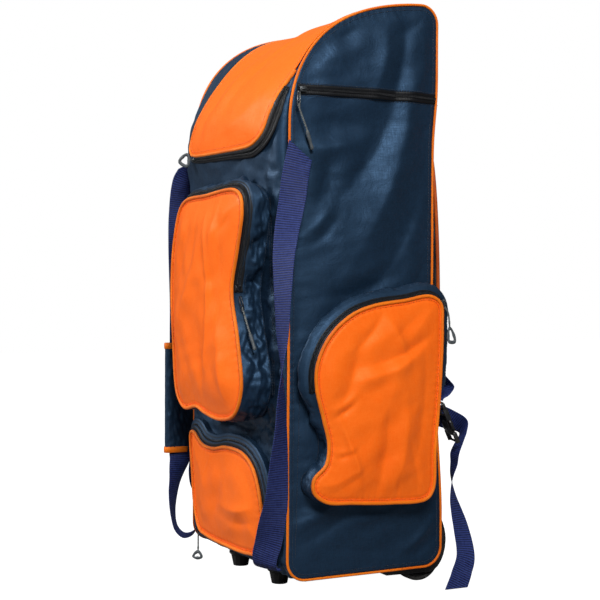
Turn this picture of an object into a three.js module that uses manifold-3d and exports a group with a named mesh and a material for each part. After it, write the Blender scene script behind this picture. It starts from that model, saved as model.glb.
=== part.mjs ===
// A wheeled duffel bag that stands upright: a tall box of sewn polyester panels with corded seams,
// a zipped lid that wraps over its sloping crown, bellows pockets on the front and both sides,
// webbing carry straps, padded shoulder straps behind, two wheels and two feet.
// Millimetres, +Z up. The front looks along -Y, and the wheels are at the back, towards +Y.
import * as THREE from 'three';
import { mergeVertices } from 'three/addons/utils/BufferGeometryUtils.js';
import Module from 'manifold-3d';

const wasm = await Module();
wasm.setup();

// Driving sizes of the body
const bodyWidth = 370; // between the two side seams
const bodyDepth = 278; // from the front seam to the back seam
const bodyHeight = 944.5; // floor to the top of the crown
const baseHeight = 27.5; // floor to the middle of the base board
const crownDrop = 203; // from the crown's top down to where the front begins to lean back
const frontCornerRadius = 32;
const topCornerRadius = 30;
const heelRadius = 32; // lower back corner, in front of the wheel
const topDraw = 8; // how far the top of the back lies inside the base's depth
const waistDraw = 15; // how far the back's hollow middle lies inside it
const heelFlare = 6; // how far the heel stands out behind the base's depth
const clothThick = 2;
const boardThick = 4;
const backPadThick = 8;
const fitGap = 0.3; // between pieces that are sewn or pressed together
const pipingRadius = 3;
const zipWidth = 16;
const zipThick = 1.4;
const frontBulge = 40; // how far the stuffed front stands out at its fullest
const sideBulge = 7;

// Pockets
const sidePocketDepth = 41;
const upperPocketDepth = 61; // from the seam line to the pocket's corded rim
const lowerPocketDepth = 22;
const sidePocketPuff = 11;
const upperPocketPuff = 14;
const lowerPocketPuff = 8;

// Webbing
const carryWidth = 42;
const carryThick = 2;
const slimWidth = 38;
const slimThick = 1.6;
const padWidth = 66; // shoulder pad
const padThick = 11;
const gripHeight = 198;
const gripDepth = 56;
const gripThick = 4;

// Running gear
const wheelRadius = 40;
const wheelWidth = 24;
const wheelInHeel = 27; // wheel centre, ahead of the heel
const wheelInSide = 32; // wheel centre, inside the side seam
const wheelRimClear = 4;
const wheelSideClear = 1.2;
const wheelSides = 20;
const axleRadius = 4;
const axleClear = 0.4;
const cheekThick = 5;
const footHeight = 24.2;
const footTopRadius = 20;
const footRestRadius = 13;
const footInSide = 110; // foot's middle, inside the side seam
const footInFront = 42; // foot's middle, behind the front seam

const halfWidth = bodyWidth / 2;
const halfDepth = bodyDepth / 2;
const crownStart = bodyHeight - crownDrop;
const wheelBack = halfDepth + heelFlare - wheelInHeel;
const wheelAside = halfWidth - wheelInSide;
const footAside = halfWidth - footInSide;
const footBack = footInFront - halfDepth;
const seamInset = pipingRadius + fitGap; // a panel stops this far short of its seam line
const clothHalf = clothThick / 2;

const finish = (name, color, roughness, metalness = 0) =>
  new THREE.MeshStandardMaterial({ name, color, roughness, metalness });
const navyCloth = finish('navy_cloth', 0x1e3048, 0.75);
const orangeCloth = finish('orange_cloth', 0xfb6a1f, 0.7);
const orangePiping = finish('orange_piping', 0xe8780f, 0.65);
const blackZip = finish('black_zip', 0x0c0e14, 0.6);
const blueWebbing = finish('blue_webbing', 0x2a2f66, 0.8);
const blackPlastic = finish('black_plastic', 0x101012, 0.5);
const blackMesh = finish('black_mesh', 0x14161b, 0.85);
const greyPull = finish('grey_pull', 0x63686a, 0.45, 0.4);
const wheelRubber = finish('wheel_rubber', 0x0d0d0e, 0.7);
const steel = finish('steel', 0xb4b7ba, 0.3, 1);

const bag = new THREE.Group();

function addPiece(name, geometry, material) {
  const mesh = new THREE.Mesh(geometry, material);
  mesh.name = name;
  bag.add(mesh);
  return mesh;
}

// A closed mesh from points and triangles, turned right side out.
function closedGeometry(points, triangles) {
  let volume = 0;
  const cross = new THREE.Vector3();
  for (let i = 0; i < triangles.length; i += 3) {
    cross.crossVectors(points[triangles[i + 1]], points[triangles[i + 2]]);
    volume += points[triangles[i]].dot(cross);
  }
  if (volume < 0) triangles.reverse();
  const geometry = new THREE.BufferGeometry().setFromPoints(points);
  geometry.setIndex(triangles);
  return geometry;
}

// Joins a row of equal sections, each a ring of points, into one solid, open-ended or as a loop. The two
// halves of the ring are split along matching diagonals, so that the faces of a thin strap never cross.
function loft(sections, isLoop, capTriangles) {
  const size = sections[0].length;
  const triangles = [];
  const spans = isLoop ? sections.length : sections.length - 1;
  for (let i = 0; i < spans; i++) {
    const here = i * size;
    const next = ((i + 1) % sections.length) * size;
    for (let k = 0; k < size; k++) {
      const l = (k + 1) % size;
      if (k < size / 2) triangles.push(here + k, here + l, next + l, here + k, next + l, next + k);
      else triangles.push(here + k, here + l, next + k, here + l, next + l, next + k);
    }
  }
  if (!isLoop) {
    const fan = Array.from({ length: size - 2 }, (_, k) => [0, k + 1, k + 2]);
    const last = (sections.length - 1) * size;
    for (const [a, b, c] of capTriangles ?? fan) {
      triangles.push(c, b, a, last + a, last + b, last + c);
    }
  }
  return closedGeometry(sections.flat(), triangles);
}

// A cloth panel cut to an outline: rings of points round its middle, with an inner and an outer face.
// place(a, b, out) gives the point at (a, b) in the panel's plane, out from its middle surface.
function panel(outline, ringCount, halfThick, place) {
  const middle = new THREE.Vector2();
  outline.forEach((p) => middle.addScaledVector(p, 1 / outline.length));
  const points = [];
  const triangles = [];
  const count = outline.length;
  for (const out of [-halfThick, halfThick]) {
    const start = points.length;
    points.push(place(middle.x, middle.y, out));
    for (let r = 1; r <= ringCount; r++) {
      for (const p of outline) {
        const q = middle.clone().lerp(p, (r / ringCount) ** 0.8);
        points.push(place(q.x, q.y, out));
      }
    }
    const face = [];
    for (let k = 0; k < count; k++) {
      const l = (k + 1) % count;
      face.push(start, start + 1 + k, start + 1 + l);
      for (let r = 0; r < ringCount - 1; r++) {
        const here = start + 1 + r * count;
        const next = here + count;
        face.push(here + k, next + k, next + l, here + k, next + l, here + l);
      }
    }
    triangles.push(...(out < 0 ? face.reverse() : face));
  }
  const innerRim = 1 + (ringCount - 1) * count;
  const outerRim = innerRim + 1 + ringCount * count;
  for (let k = 0; k < count; k++) {
    const l = (k + 1) % count;
    triangles.push(innerRim + k, innerRim + l, outerRim + l, innerRim + k, outerRim + l, outerRim + k);
  }
  return closedGeometry(points, triangles);
}

// A four-sided cloth panel: a grid of across by along steps, with an inner and an outer face.
function sheet(across, along, halfThick, place) {
  const sections = [];
  for (let j = 0; j <= along; j++) {
    const ring = [];
    for (let i = 0; i <= across; i++) ring.push(place(i / across, j / along, halfThick));
    for (let i = across; i >= 0; i--) ring.push(place(i / across, j / along, -halfThick));
    sections.push(ring);
  }
  const cap = [];
  const last = 2 * across + 1;
  for (let i = 0; i < across; i++) cap.push([i, i + 1, last - i], [i + 1, last - i - 1, last - i]);
  return loft(sections, false, cap);
}

function asSolid(geometry) {
  const plain = mergeVertices(geometry, 1e-4);
  return new wasm.Manifold(
    new wasm.Mesh({
      numProp: 3,
      vertProperties: plain.attributes.position.array,
      triVerts: new Uint32Array(plain.index.array),
    }),
  );
}

function bare(geometry) {
  geometry.deleteAttribute('normal');
  geometry.deleteAttribute('uv');
  return geometry;
}

function fromSolid(solid) {
  const mesh = solid.getMesh();
  const geometry = new THREE.BufferGeometry();
  geometry.setAttribute('position', new THREE.BufferAttribute(mesh.vertProperties, 3));
  geometry.setIndex(new THREE.BufferAttribute(mesh.triVerts, 1));
  return geometry;
}

// A smooth bump, 1 at its middle and near 0 beyond its reach.
const bump = (distance, reach) => Math.exp(-((distance / reach) ** 2));

// Shares of a curve's length that crowd where it turns, so that round corners stay round.
function pacedShares(curve, steps, turnWeight = 1) {
  const fine = 240;
  const paced = [0];
  for (let k = 1; k <= fine; k++) {
    const bend = curve.getTangentAt(k / fine).angleTo(curve.getTangentAt((k - 1) / fine));
    paced.push(paced[k - 1] + bend * turnWeight + 4 / fine);
  }
  return Array.from({ length: steps }, (_, i) => paced.findIndex((t) => t >= (paced[fine] * i) / steps) / fine);
}

// The side profile, seen from the right: x is depth and y is height.
const backLine = halfDepth - topDraw;
const waistLine = halfDepth - waistDraw;
const heelLine = halfDepth + heelFlare;
const crownBend = { front: -halfDepth + 109, height: bodyHeight - 28 };
const frontPath = new THREE.Path();
frontPath.moveTo(-halfDepth + frontCornerRadius, baseHeight);
frontPath.absarc(-halfDepth + frontCornerRadius, baseHeight + frontCornerRadius,
  frontCornerRadius, -Math.PI / 2, -Math.PI, true);
frontPath.lineTo(-halfDepth, crownStart);
frontPath.bezierCurveTo(
  -halfDepth, crownStart + (crownBend.height - crownStart) * 0.49,
  -halfDepth + 44, bodyHeight - 58,
  crownBend.front, crownBend.height);
frontPath.bezierCurveTo(
  crownBend.front + 34, bodyHeight - 12,
  crownBend.front + 84, bodyHeight - 2,
  backLine - topCornerRadius, bodyHeight);
frontPath.absarc(backLine - topCornerRadius, bodyHeight - topCornerRadius,
  topCornerRadius, Math.PI / 2, 0, true);
const backPath = new THREE.Path();
backPath.moveTo(backLine, bodyHeight - topCornerRadius);
backPath.lineTo(backLine, bodyHeight * 0.89);
backPath.bezierCurveTo(
  backLine, bodyHeight * 0.81,
  waistLine, bodyHeight * 0.81,
  waistLine, bodyHeight * 0.74);
backPath.lineTo(waistLine, bodyHeight * 0.52);
backPath.bezierCurveTo(
  waistLine, bodyHeight * 0.33,
  heelLine, bodyHeight * 0.22,
  heelLine, bodyHeight * 0.12);
backPath.lineTo(heelLine, baseHeight + heelRadius);
backPath.absarc(heelLine - heelRadius, baseHeight + heelRadius, heelRadius, 0, -Math.PI / 2, true);

// Point and outward direction at a share of a path's length.
function pathPlace(path, share) {
  const t = Math.min(Math.max(share, 0), 1);
  const p = path.getPointAt(t);
  const d = path.getTangentAt(t);
  return { p, n: new THREE.Vector2(-d.y, d.x) };
}

// The whole profile as points, moved inwards, for the side panels and their seams.
function profilePoints(inset, frontSteps, backSteps, baseSteps) {
  const points = [];
  const add = (path, steps) => {
    for (const share of pacedShares(path, steps)) {
      const { p, n } = pathPlace(path, share);
      points.push(p.clone().addScaledVector(n, -inset));
    }
  };
  add(frontPath, frontSteps);
  add(backPath, backSteps);
  const baseFrom = heelLine - heelRadius;
  const baseTo = -halfDepth + frontCornerRadius;
  for (let i = 0; i < baseSteps; i++) {
    const y = baseFrom + ((baseTo - baseFrom) * i) / baseSteps;
    points.push(new THREE.Vector2(y, baseHeight + inset));
  }
  return points;
}

// Straight-line distance from a point to the profile, used to flatten bulges at the seam.
const profileFence = profilePoints(0, 60, 40, 10);
function seamDistance(y, z) {
  const here = new THREE.Vector2(y, z);
  const foot = new THREE.Vector3();
  const line = new THREE.Line3();
  return profileFence.reduce((least, p, i) => {
    const q = profileFence[(i + 1) % profileFence.length];
    line.start.set(p.x, p.y, 0);
    line.end.set(q.x, q.y, 0);
    line.closestPointToPoint(foot.set(here.x, here.y, 0), true, foot);
    return Math.min(least, Math.hypot(foot.x - here.x, foot.y - here.y));
  }, Infinity);
}

// Broad folds of a side panel. y and z are shares of depth and height from the middle and the floor,
// turn is the fold's lean in degrees from upright, long and wide are shares of the depth.
const sideFolds = [
  { y: 0.1, z: 0.9, turn: -35, long: 0.5, wide: 0.1, deep: 4 },
  { y: -0.28, z: 0.9, turn: -50, long: 0.35, wide: 0.1, deep: -3.5 },
  { y: 0.3, z: 0.9, turn: 10, long: 0.4, wide: 0.08, deep: -4 },
  { y: -0.1, z: 0.74, turn: -70, long: 0.6, wide: 0.22, deep: -6 },
  { y: 0.2, z: 0.66, turn: -28, long: 0.8, wide: 0.16, deep: 5 },
  { y: -0.3, z: 0.56, turn: -30, long: 0.5, wide: 0.12, deep: 4 },
  { y: 0, z: 0.1, turn: 75, long: 0.6, wide: 0.12, deep: -5 },
  { y: -0.3, z: 0.17, turn: 62, long: 0.3, wide: 0.06, deep: 3 },
];

function sideSurface(y, z) {
  const fade = 1 - Math.exp(-((seamDistance(y, z) / 38) ** 2));
  let out = sideBulge * (1 - 0.35 * (y / halfDepth) ** 2);
  for (const f of sideFolds) {
    const turn = THREE.MathUtils.degToRad(f.turn);
    const dy = y - f.y * bodyDepth;
    const dz = z - f.z * bodyHeight;
    const along = dy * Math.sin(turn) + dz * Math.cos(turn);
    const off = dy * Math.cos(turn) - dz * Math.sin(turn);
    out += f.deep * bump(along, (f.long * bodyDepth) / 2) * bump(off, f.wide * bodyDepth);
  }
  return Math.max(out, 0) * fade;
}

// How full the front is at shares of its run: the stuffed part below the lid stands out most, and the
// top sags a little between the seams. A low square gives a boxy section, a high one a round section.
const fullness = [
  { up: 0, share: 0, square: 0.35 },
  { up: 0.05, share: 0.05, square: 0.35 },
  { up: 0.1, share: 0.12, square: 0.35 },
  { up: 0.26, share: 0.22, square: 0.35 },
  { up: 0.44, share: 0.4, square: 0.35 },
  { up: 0.5, share: 0.52, square: 0.35 },
  { up: 0.576, share: 0.8, square: 0.35 },
  { up: 0.615, share: 1.04, square: 0.33 },
  { up: 0.655, share: 0.96, square: 0.4 },
  { up: 0.7, share: 0.5, square: 0.5 },
  { up: 0.735, share: 0.2, square: 0.8 },
  { up: 0.775, share: -0.02, square: 1 },
  { up: 0.82, share: -0.12, square: 1 },
  { up: 0.86, share: -0.24, square: 0.6 },
  { up: 0.92, share: -0.26, square: 0.6 },
  { up: 0.97, share: -0.14, square: 0.6 },
  { up: 1, share: 0, square: 0.6 },
];

function readTable(table, value, at) {
  const i = Math.max(1, table.findIndex((row) => row.up >= at));
  const [low, high] = [table[i - 1], table[i]];
  const t = THREE.MathUtils.smoothstep(at, low.up, high.up);
  return THREE.MathUtils.lerp(low[value], high[value], t);
}

// Sagging folds of the front between and beside the pockets, as shares of the front's run and width.
const frontFolds = [
  { x: 0, up: 0.215, wide: 0.9, high: 0.032, deep: -5 },
  { x: 0.2, up: 0.25, wide: 0.5, high: 0.03, deep: 3 },
  { x: 0.3, up: 0.6, wide: 0.3, high: 0.03, deep: -4 },
  { x: -0.2, up: 0.61, wide: 0.5, high: 0.03, deep: 4 },
];
const frontRun = frontPath.getLength();
const cornerRun = (frontCornerRadius * Math.PI) / 2;

function frontOut(x, run) {
  const up = THREE.MathUtils.clamp(run / frontRun, 0, 1);
  const across = 1 - Math.min(Math.abs(x / (halfWidth - seamInset)), 1) ** 2;
  let out = frontBulge * readTable(fullness, 'share', up);
  for (const f of frontFolds) {
    out += f.deep * bump(x - f.x * bodyWidth, (f.wide * bodyWidth) / 2) * bump(up - f.up, f.high);
  }
  return out * across ** readTable(fullness, 'square', up);
}

// The curved front and crown: a is across, b is the run along the profile from under the base.
const crownWall = (a, b, out) => {
  const { p, n } = pathPlace(frontPath, b / frontRun);
  const stand = frontOut(a, b) + out;
  return new THREE.Vector3(a, p.x + n.x * stand, p.y + n.y * stand);
};
// The front's upright stretch: b is height.
const runAtHeight = (z) => z - baseHeight - frontCornerRadius + cornerRun;
const frontGround = (a, b) => frontOut(a, runAtHeight(b));
const frontWall = (a, b, out) => new THREE.Vector3(a, -halfDepth - out, b);
const sideWall = (side) => (a, b, out) => new THREE.Vector3(side * (halfWidth + out), a, b);

// Wheel housings: a moulded heel guard, seen from the side, with a well that opens downwards.
const housingWidth = wheelWidth + 2 * (wheelSideClear + cheekThick);
const housingShape = new THREE.Shape();
// A point behind the wheel's middle and above the floor, in wheel radii.
const nearWheel = (behind, up) => [wheelBack + behind * wheelRadius, up * wheelRadius];
housingShape.moveTo(...nearWheel(-2, 0.6375));
housingShape.lineTo(...nearWheel(-1.7, 0.4));
housingShape.lineTo(...nearWheel(0.4, 0.35));
housingShape.bezierCurveTo(...nearWheel(0.825, 0.4), ...nearWheel(1.175, 0.95), ...nearWheel(1.175, 1.65));
housingShape.bezierCurveTo(...nearWheel(1.175, 2.1), ...nearWheel(0.95, 2.6), ...nearWheel(0.65, 3.05));
housingShape.lineTo(...nearWheel(0.35, 3.05));
housingShape.lineTo(...nearWheel(0.15, 2.25));
housingShape.lineTo(...nearWheel(-0.85, 2.1));
housingShape.lineTo(...nearWheel(-1.45, 1.1));
housingShape.lineTo(...nearWheel(-2, 1));

// A side-view outline pushed out along X, centred on x = middle.
function acrossX(shape, width, middle, curveSegments = 6) {
  const geometry = bare(new THREE.ExtrudeGeometry(shape, { depth: width, bevelEnabled: false, curveSegments }));
  geometry.rotateX(Math.PI / 2).rotateZ(Math.PI / 2);
  geometry.translate(middle - width / 2, 0, 0);
  return geometry;
}

function cylinderX(radius, width, sides, centre) {
  const geometry = bare(new THREE.CylinderGeometry(radius, radius, width, sides));
  geometry.rotateZ(Math.PI / 2);
  // A flat of the rim, not a corner, meets the floor.
  geometry.rotateX(Math.PI / sides);
  geometry.translate(centre.x, centre.y, centre.z);
  return asSolid(geometry);
}

function wheelCentre(side) {
  return new THREE.Vector3(side * wheelAside, wheelBack, wheelRadius * Math.cos(Math.PI / wheelSides));
}

// The housing's footprint grown by the fit gap, cut from the cloth that it goes through.
function housingCutter(side) {
  const points = housingShape.getPoints(6);
  const middle = new THREE.Vector2(wheelBack, 66);
  const grown = points.map((p) => {
    const away = p.clone().sub(middle);
    return p.clone().add(away.setLength(3 * fitGap));
  });
  return asSolid(acrossX(new THREE.Shape(grown), housingWidth + 4 * fitGap, side * wheelAside));
}

function makeHousing(name, side) {
  const well = cylinderX(wheelRadius + wheelRimClear, wheelWidth + 2 * wheelSideClear, wheelSides, wheelCentre(side));
  const bore = cylinderX(axleRadius + fitGap, housingWidth + 4, 12, wheelCentre(side));
  const block = asSolid(acrossX(housingShape, housingWidth, side * wheelAside));
  addPiece(name, fromSolid(block.subtract(well).subtract(bore)), blackPlastic);
}

function makeWheel(name, side) {
  const hub = axleRadius + axleClear;
  const half = wheelWidth / 2;
  const profile = [
    [hub, -half], [wheelRadius * 0.9, -half], [wheelRadius, -half * 0.6],
    [wheelRadius, half * 0.6], [wheelRadius * 0.9, half], [hub, half], [hub, -half],
  ].map(([x, y]) => new THREE.Vector2(x, y));
  const geometry = bare(new THREE.LatheGeometry(profile, wheelSides));
  geometry.rotateZ(Math.PI / 2).rotateX(Math.PI / wheelSides);
  const centre = wheelCentre(side);
  geometry.translate(centre.x, centre.y, centre.z);
  addPiece(name, fromSolid(asSolid(geometry)), wheelRubber);
}

function makeFoot(name, side) {
  const profile = [
    [0, 0], [footRestRadius, 0], [footTopRadius - 3, footHeight * 0.8],
    [footTopRadius, footHeight * 0.86], [footTopRadius, footHeight], [0, footHeight],
  ].map(([x, y]) => new THREE.Vector2(x, y));
  const geometry = bare(new THREE.LatheGeometry(profile, 12));
  geometry.rotateX(Math.PI / 2).translate(side * footAside, footBack, 0);
  addPiece(name, fromSolid(asSolid(geometry)), blackPlastic);
}

// A round cord seam along a row of points, with as many sides as asked.
function pipingAlong(points, isLoop, radius = pipingRadius, sides = 4) {
  const count = points.length;
  const sections = points.map((p, i) => {
    const before = isLoop ? points[(i + count - 1) % count] : points[Math.max(i - 1, 0)];
    const after = isLoop ? points[(i + 1) % count] : points[Math.min(i + 1, count - 1)];
    const tangent = after.clone().sub(before).normalize();
    const right = new THREE.Vector3().crossVectors(tangent, pipingAlong.away(p)).normalize();
    const up = new THREE.Vector3().crossVectors(right, tangent);
    return Array.from({ length: sides }, (_, k) => {
      const turn = (2 * Math.PI * (k + 0.5)) / sides;
      return p.clone().addScaledVector(right, radius * Math.cos(turn)).addScaledVector(up, radius * Math.sin(turn));
    });
  });
  return loft(sections, isLoop);
}
// A direction that no seam of the bag runs along: away from a line through the middle of the body.
pipingAlong.away = (p) => new THREE.Vector3(p.x, p.y, 0.37 * (p.z - bodyHeight / 2)).normalize();

// Side panels, with their corded seams and the long zip below the crown
const zipDrop = 151; // from the crown's top down to the side zips
const zipHeight = bodyHeight - zipDrop;
function makeSide(label, side) {
  const wall = sideWall(side);
  const outline = profilePoints(seamInset, 22, 11, 3);
  addPiece(`side_panel_${label}`,
    panel(outline, 4, clothHalf, (y, z, out) => wall(y, z, sideSurface(y, z) + out)), navyCloth);
  const seam = profilePoints(0, 22, 11, 3).map((p) => wall(p.x, p.y, 0));
  // The cord's two ends meet under the base, where the board hides them.
  const breakAt = seam.length - 3;
  const ordered = [...seam.slice(breakAt + 1), ...seam.slice(0, breakAt)];
  addPiece(`side_piping_${label}`, pipingAlong(ordered, false), orangePiping);
  const zipEnd = halfDepth - 12;
  addPiece(`side_zip_${label}`, sheet(1, 14, zipThick / 2, (i, j, out) => {
    const y = -zipEnd + 2 * zipEnd * j;
    const z = zipHeight + (i - 0.5) * zipWidth;
    const ground = Math.max(sideSurface(y, zipHeight - zipWidth / 2), sideSurface(y, zipHeight + zipWidth / 2),
      sideSurface(y, zipHeight), sideSurface(y - 6, zipHeight), sideSurface(y + 6, zipHeight));
    return wall(y, z, ground + clothHalf + 3 * fitGap + zipThick / 2 + out);
  }), blackZip);
  return wall(-zipEnd + 6, zipHeight,
    sideSurface(-zipEnd + 14, zipHeight) + clothHalf + 7 * fitGap + zipThick + sidePull[0].r);
}

// A bellows pocket: a gusset that stands on the wall, a face, the cord between them and a zip round it.
// outline is the pocket's edge in the wall's plane, ground(a, b) the height of the wall's middle surface.
function makePocket({ label, wall, ground, outline, depth, ringCount, zipFrom, zipTo, faceOut, datum }) {
  const count = outline.length;
  const ways = outline.map((p, i) => {
    const d = outline[(i + 1) % count].clone().sub(outline[(i + count - 1) % count]).normalize();
    return new THREE.Vector2(d.y, -d.x);
  });
  const inset = (amount) => outline.map((p, i) => p.clone().addScaledVector(ways[i], -amount));
  const [outer, inner] = [inset(-clothHalf), inset(clothHalf)];
  const rimOut = (p) => datum(p) + depth;
  // The gusset's foot clears the wall's highest point between its neighbours.
  const highest = (points, i) => Math.max(...[-1, 1].flatMap((step) => [0, 0.25, 0.5].map((t) => {
    const q = points[i].clone().lerp(points[(i + step + count) % count], t);
    return ground(q.x, q.y);
  })));
  const gusset = outline.map((p, i) => {
    const low = Math.max(highest(outer, i), highest(inner, i)) + clothHalf + 2 * fitGap;
    const high = rimOut(p) - seamInset;
    return [
      wall(outer[i].x, outer[i].y, low), wall(outer[i].x, outer[i].y, high),
      wall(inner[i].x, inner[i].y, high), wall(inner[i].x, inner[i].y, low),
    ];
  });
  addPiece(`${label}_gusset`, loft(gusset, true), navyCloth);
  const middle = new THREE.Vector2();
  outline.forEach((p) => middle.addScaledVector(p, 1 / count));
  const reach = Math.max(...outline.map((p) => p.distanceTo(middle)));
  const rimAt = (a, b) => datum(new THREE.Vector2(a, b)) + depth;
  addPiece(`${label}_face`, panel(inset(seamInset), ringCount, clothHalf,
    (a, b, out) => wall(a, b, rimAt(a, b) + faceOut(a, b, outline, reach) + out)), orangeCloth);
  addPiece(`${label}_piping`, pipingAlong(outline.map((p) => wall(p.x, p.y, rimOut(p))), true), orangePiping);
  const zip = [];
  const zipHigh = Math.min(zipWidth, depth * 0.55);
  for (let i = Math.round(zipFrom * count); i <= Math.round(zipTo * count); i++) {
    const k = ((i % count) + count) % count;
    const near = outline[k].clone().addScaledVector(ways[k], clothHalf + fitGap);
    const far = near.clone().addScaledVector(ways[k], zipThick);
    const high = rimOut(outline[k]) - seamInset - 1;
    zip.push([
      wall(near.x, near.y, high - zipHigh), wall(near.x, near.y, high),
      wall(far.x, far.y, high), wall(far.x, far.y, high - zipHigh),
    ]);
  }
  addPiece(`${label}_zip`, loft(zip, false), blackZip);
  // Where a slider of a given radius sits on the zip, nearest to (a, b).
  return (a, b, radius) => {
    const near = outline.map((p) => Math.hypot(p.x - a, p.y - b));
    const k = near.indexOf(Math.min(...near));
    const q = outline[k].clone().addScaledVector(ways[k], clothHalf + zipThick + 2 * fitGap + radius);
    return wall(q.x, q.y, rimOut(outline[k]) - seamInset - 1 - zipHigh / 2);
  };
}

// A smooth closed outline through a table of shares of a box.
function outlineFrom(table, box, count) {
  const curve = new THREE.CatmullRomCurve3(
    table.map(({ across, up }) => new THREE.Vector3(
      THREE.MathUtils.lerp(box.low.x, box.high.x, across),
      THREE.MathUtils.lerp(box.low.y, box.high.y, up), 0)),
    true, 'centripetal');
  return pacedShares(curve, count, 0.7).map((share) => {
    const p = curve.getPointAt(share);
    return new THREE.Vector2(p.x, p.y);
  });
}

// Distance of a point from an outline's edge, for faces that are flat at the seam and full inside.
function edgeDistance(a, b, outline) {
  return outline.reduce((least, p) => Math.min(least, Math.hypot(p.x - a, p.y - b)), Infinity);
}

// A pocket's box on its wall, from shares of the wall's width and of the body's height.
const pocketBox = (wallWidth, { left, right, low, high }) => ({
  low: new THREE.Vector2(wallWidth * left, bodyHeight * low),
  high: new THREE.Vector2(wallWidth * right, bodyHeight * high),
});

// Side pockets. Shares of the pocket's depth, from front to back, and of its height.
const sidePocketBox = pocketBox(bodyDepth, { left: -0.421, right: 0.4245, low: 0.15405, high: 0.50025 });
const sidePocketEdge = [
  { across: 0.3, up: 0.015 }, { across: 0.6, up: 0 }, { across: 0.88, up: 0.005 }, { across: 0.935, up: 0.05 },
  { across: 0.95, up: 0.25 }, { across: 0.985, up: 0.55 }, { across: 1, up: 0.85 }, { across: 0.985, up: 0.965 },
  { across: 0.9, up: 1 }, { across: 0.7, up: 0.98 }, { across: 0.45, up: 0.955 }, { across: 0.28, up: 0.91 },
  { across: 0.12, up: 0.81 }, { across: 0.03, up: 0.68 }, { across: 0.025, up: 0.57 }, { across: 0.08, up: 0.42 },
  { across: 0.12, up: 0.3 }, { across: 0.1, up: 0.205 }, { across: 0.01, up: 0.14 }, { across: 0.01, up: 0.08 },
  { across: 0.1, up: 0.03 },
];
const sidePocketFolds = [
  { across: 0.32, up: 0.46, turn: 35, long: 70, wide: 26, deep: -7 },
  { across: 0.45, up: 0.66, turn: 70, long: 90, wide: 30, deep: 4 },
  { across: 0.28, up: 0.2, turn: 60, long: 60, wide: 18, deep: -6 },
  { across: 0.62, up: 0.3, turn: -15, long: 110, wide: 28, deep: 5 },
];

function makeSidePocket(label, side) {
  const { low, high } = sidePocketBox;
  return makePocket({
    label: `side_pocket_${label}`,
    wall: sideWall(side),
    ground: sideSurface,
    outline: outlineFrom(sidePocketEdge, sidePocketBox, 28),
    depth: sidePocketDepth,
    ringCount: 3,
    zipFrom: 0.3,
    zipTo: 0.74,
    datum: () => 0,
    faceOut: (a, b, outline) => {
      const inside = 1 - Math.exp(-((edgeDistance(a, b, outline) / 55) ** 2));
      let out = sidePocketPuff;
      for (const f of sidePocketFolds) {
        const turn = THREE.MathUtils.degToRad(f.turn);
        const dy = a - THREE.MathUtils.lerp(low.x, high.x, f.across);
        const dz = b - THREE.MathUtils.lerp(low.y, high.y, f.up);
        out += f.deep * bump(dy * Math.sin(turn) + dz * Math.cos(turn), f.long)
          * bump(dy * Math.cos(turn) - dz * Math.sin(turn), f.wide);
      }
      return out * inside;
    },
  });
}

// Front pockets: a tall one and a short wide one, as shares of their width and height.
const upperPocketBox = pocketBox(bodyWidth, { left: -0.3784, right: 0.3865, low: 0.2885, high: 0.676 });
const upperPocketEdge = [
  { across: 0.19, up: 0.016 }, { across: 0.38, up: 0.033 }, { across: 0.5, up: 0.014 }, { across: 0.72, up: 0 },
  { across: 0.91, up: 0.035 }, { across: 1, up: 0.148 }, { across: 0.95, up: 0.36 }, { across: 0.87, up: 0.57 },
  { across: 0.94, up: 0.74 }, { across: 1, up: 0.9 }, { across: 0.98, up: 0.97 }, { across: 0.9, up: 1 },
  { across: 0.5, up: 0.99 }, { across: 0.2, up: 0.975 }, { across: 0.11, up: 0.93 }, { across: 0.02, up: 0.77 },
  { across: -0.01, up: 0.56 }, { across: 0.02, up: 0.32 }, { across: 0.08, up: 0.08 },
];
const lowerPocketBox = pocketBox(bodyWidth, { left: -0.3649, right: 0.4, low: 0.0561, high: 0.2462 });
const lowerPocketEdge = [
  { across: 0.2, up: 0.02 }, { across: 0.5, up: 0.005 }, { across: 0.8, up: 0.02 }, { across: 0.97, up: 0.08 },
  { across: 0.985, up: 0.3 }, { across: 0.955, up: 0.55 }, { across: 0.87, up: 0.79 }, { across: 0.74, up: 0.9 },
  { across: 0.5, up: 0.92 }, { across: 0.3, up: 0.87 }, { across: 0.14, up: 0.89 }, { across: 0.03, up: 0.98 },
  { across: -0.02, up: 0.97 }, { across: 0.0, up: 0.55 }, { across: 0.02, up: 0.3 }, { across: 0.09, up: 0.06 },
];

function makeFrontPocket(label, edge, box, depth, count, ringCount, zipFrom, zipTo, puff, lift) {
  return makePocket({
    label,
    wall: frontWall,
    ground: frontGround,
    outline: outlineFrom(edge, box, count),
    depth,
    ringCount,
    zipFrom,
    zipTo,
    datum: (p) => lift * THREE.MathUtils.clamp((p.y - box.low.y) / (box.high.y - box.low.y), 0, 1),
    faceOut: (a, b, outline) => {
      const inside = 1 - Math.exp(-((edgeDistance(a, b, outline) / 50) ** 2));
      const crease = 3 * bump(a + 10 - 0.12 * (b - box.low.y), 16);
      return (puff - crease) * inside;
    },
  });
}

// The lid over the crown: a flap of orange cloth between zips, hinged on the flat top.
const lidDrop = 34; // from where the crown begins to lean down to the lid's lower edge
const lidLow = runAtHeight(crownStart - lidDrop);
const lidHigh = frontRun * 0.945;
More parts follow.
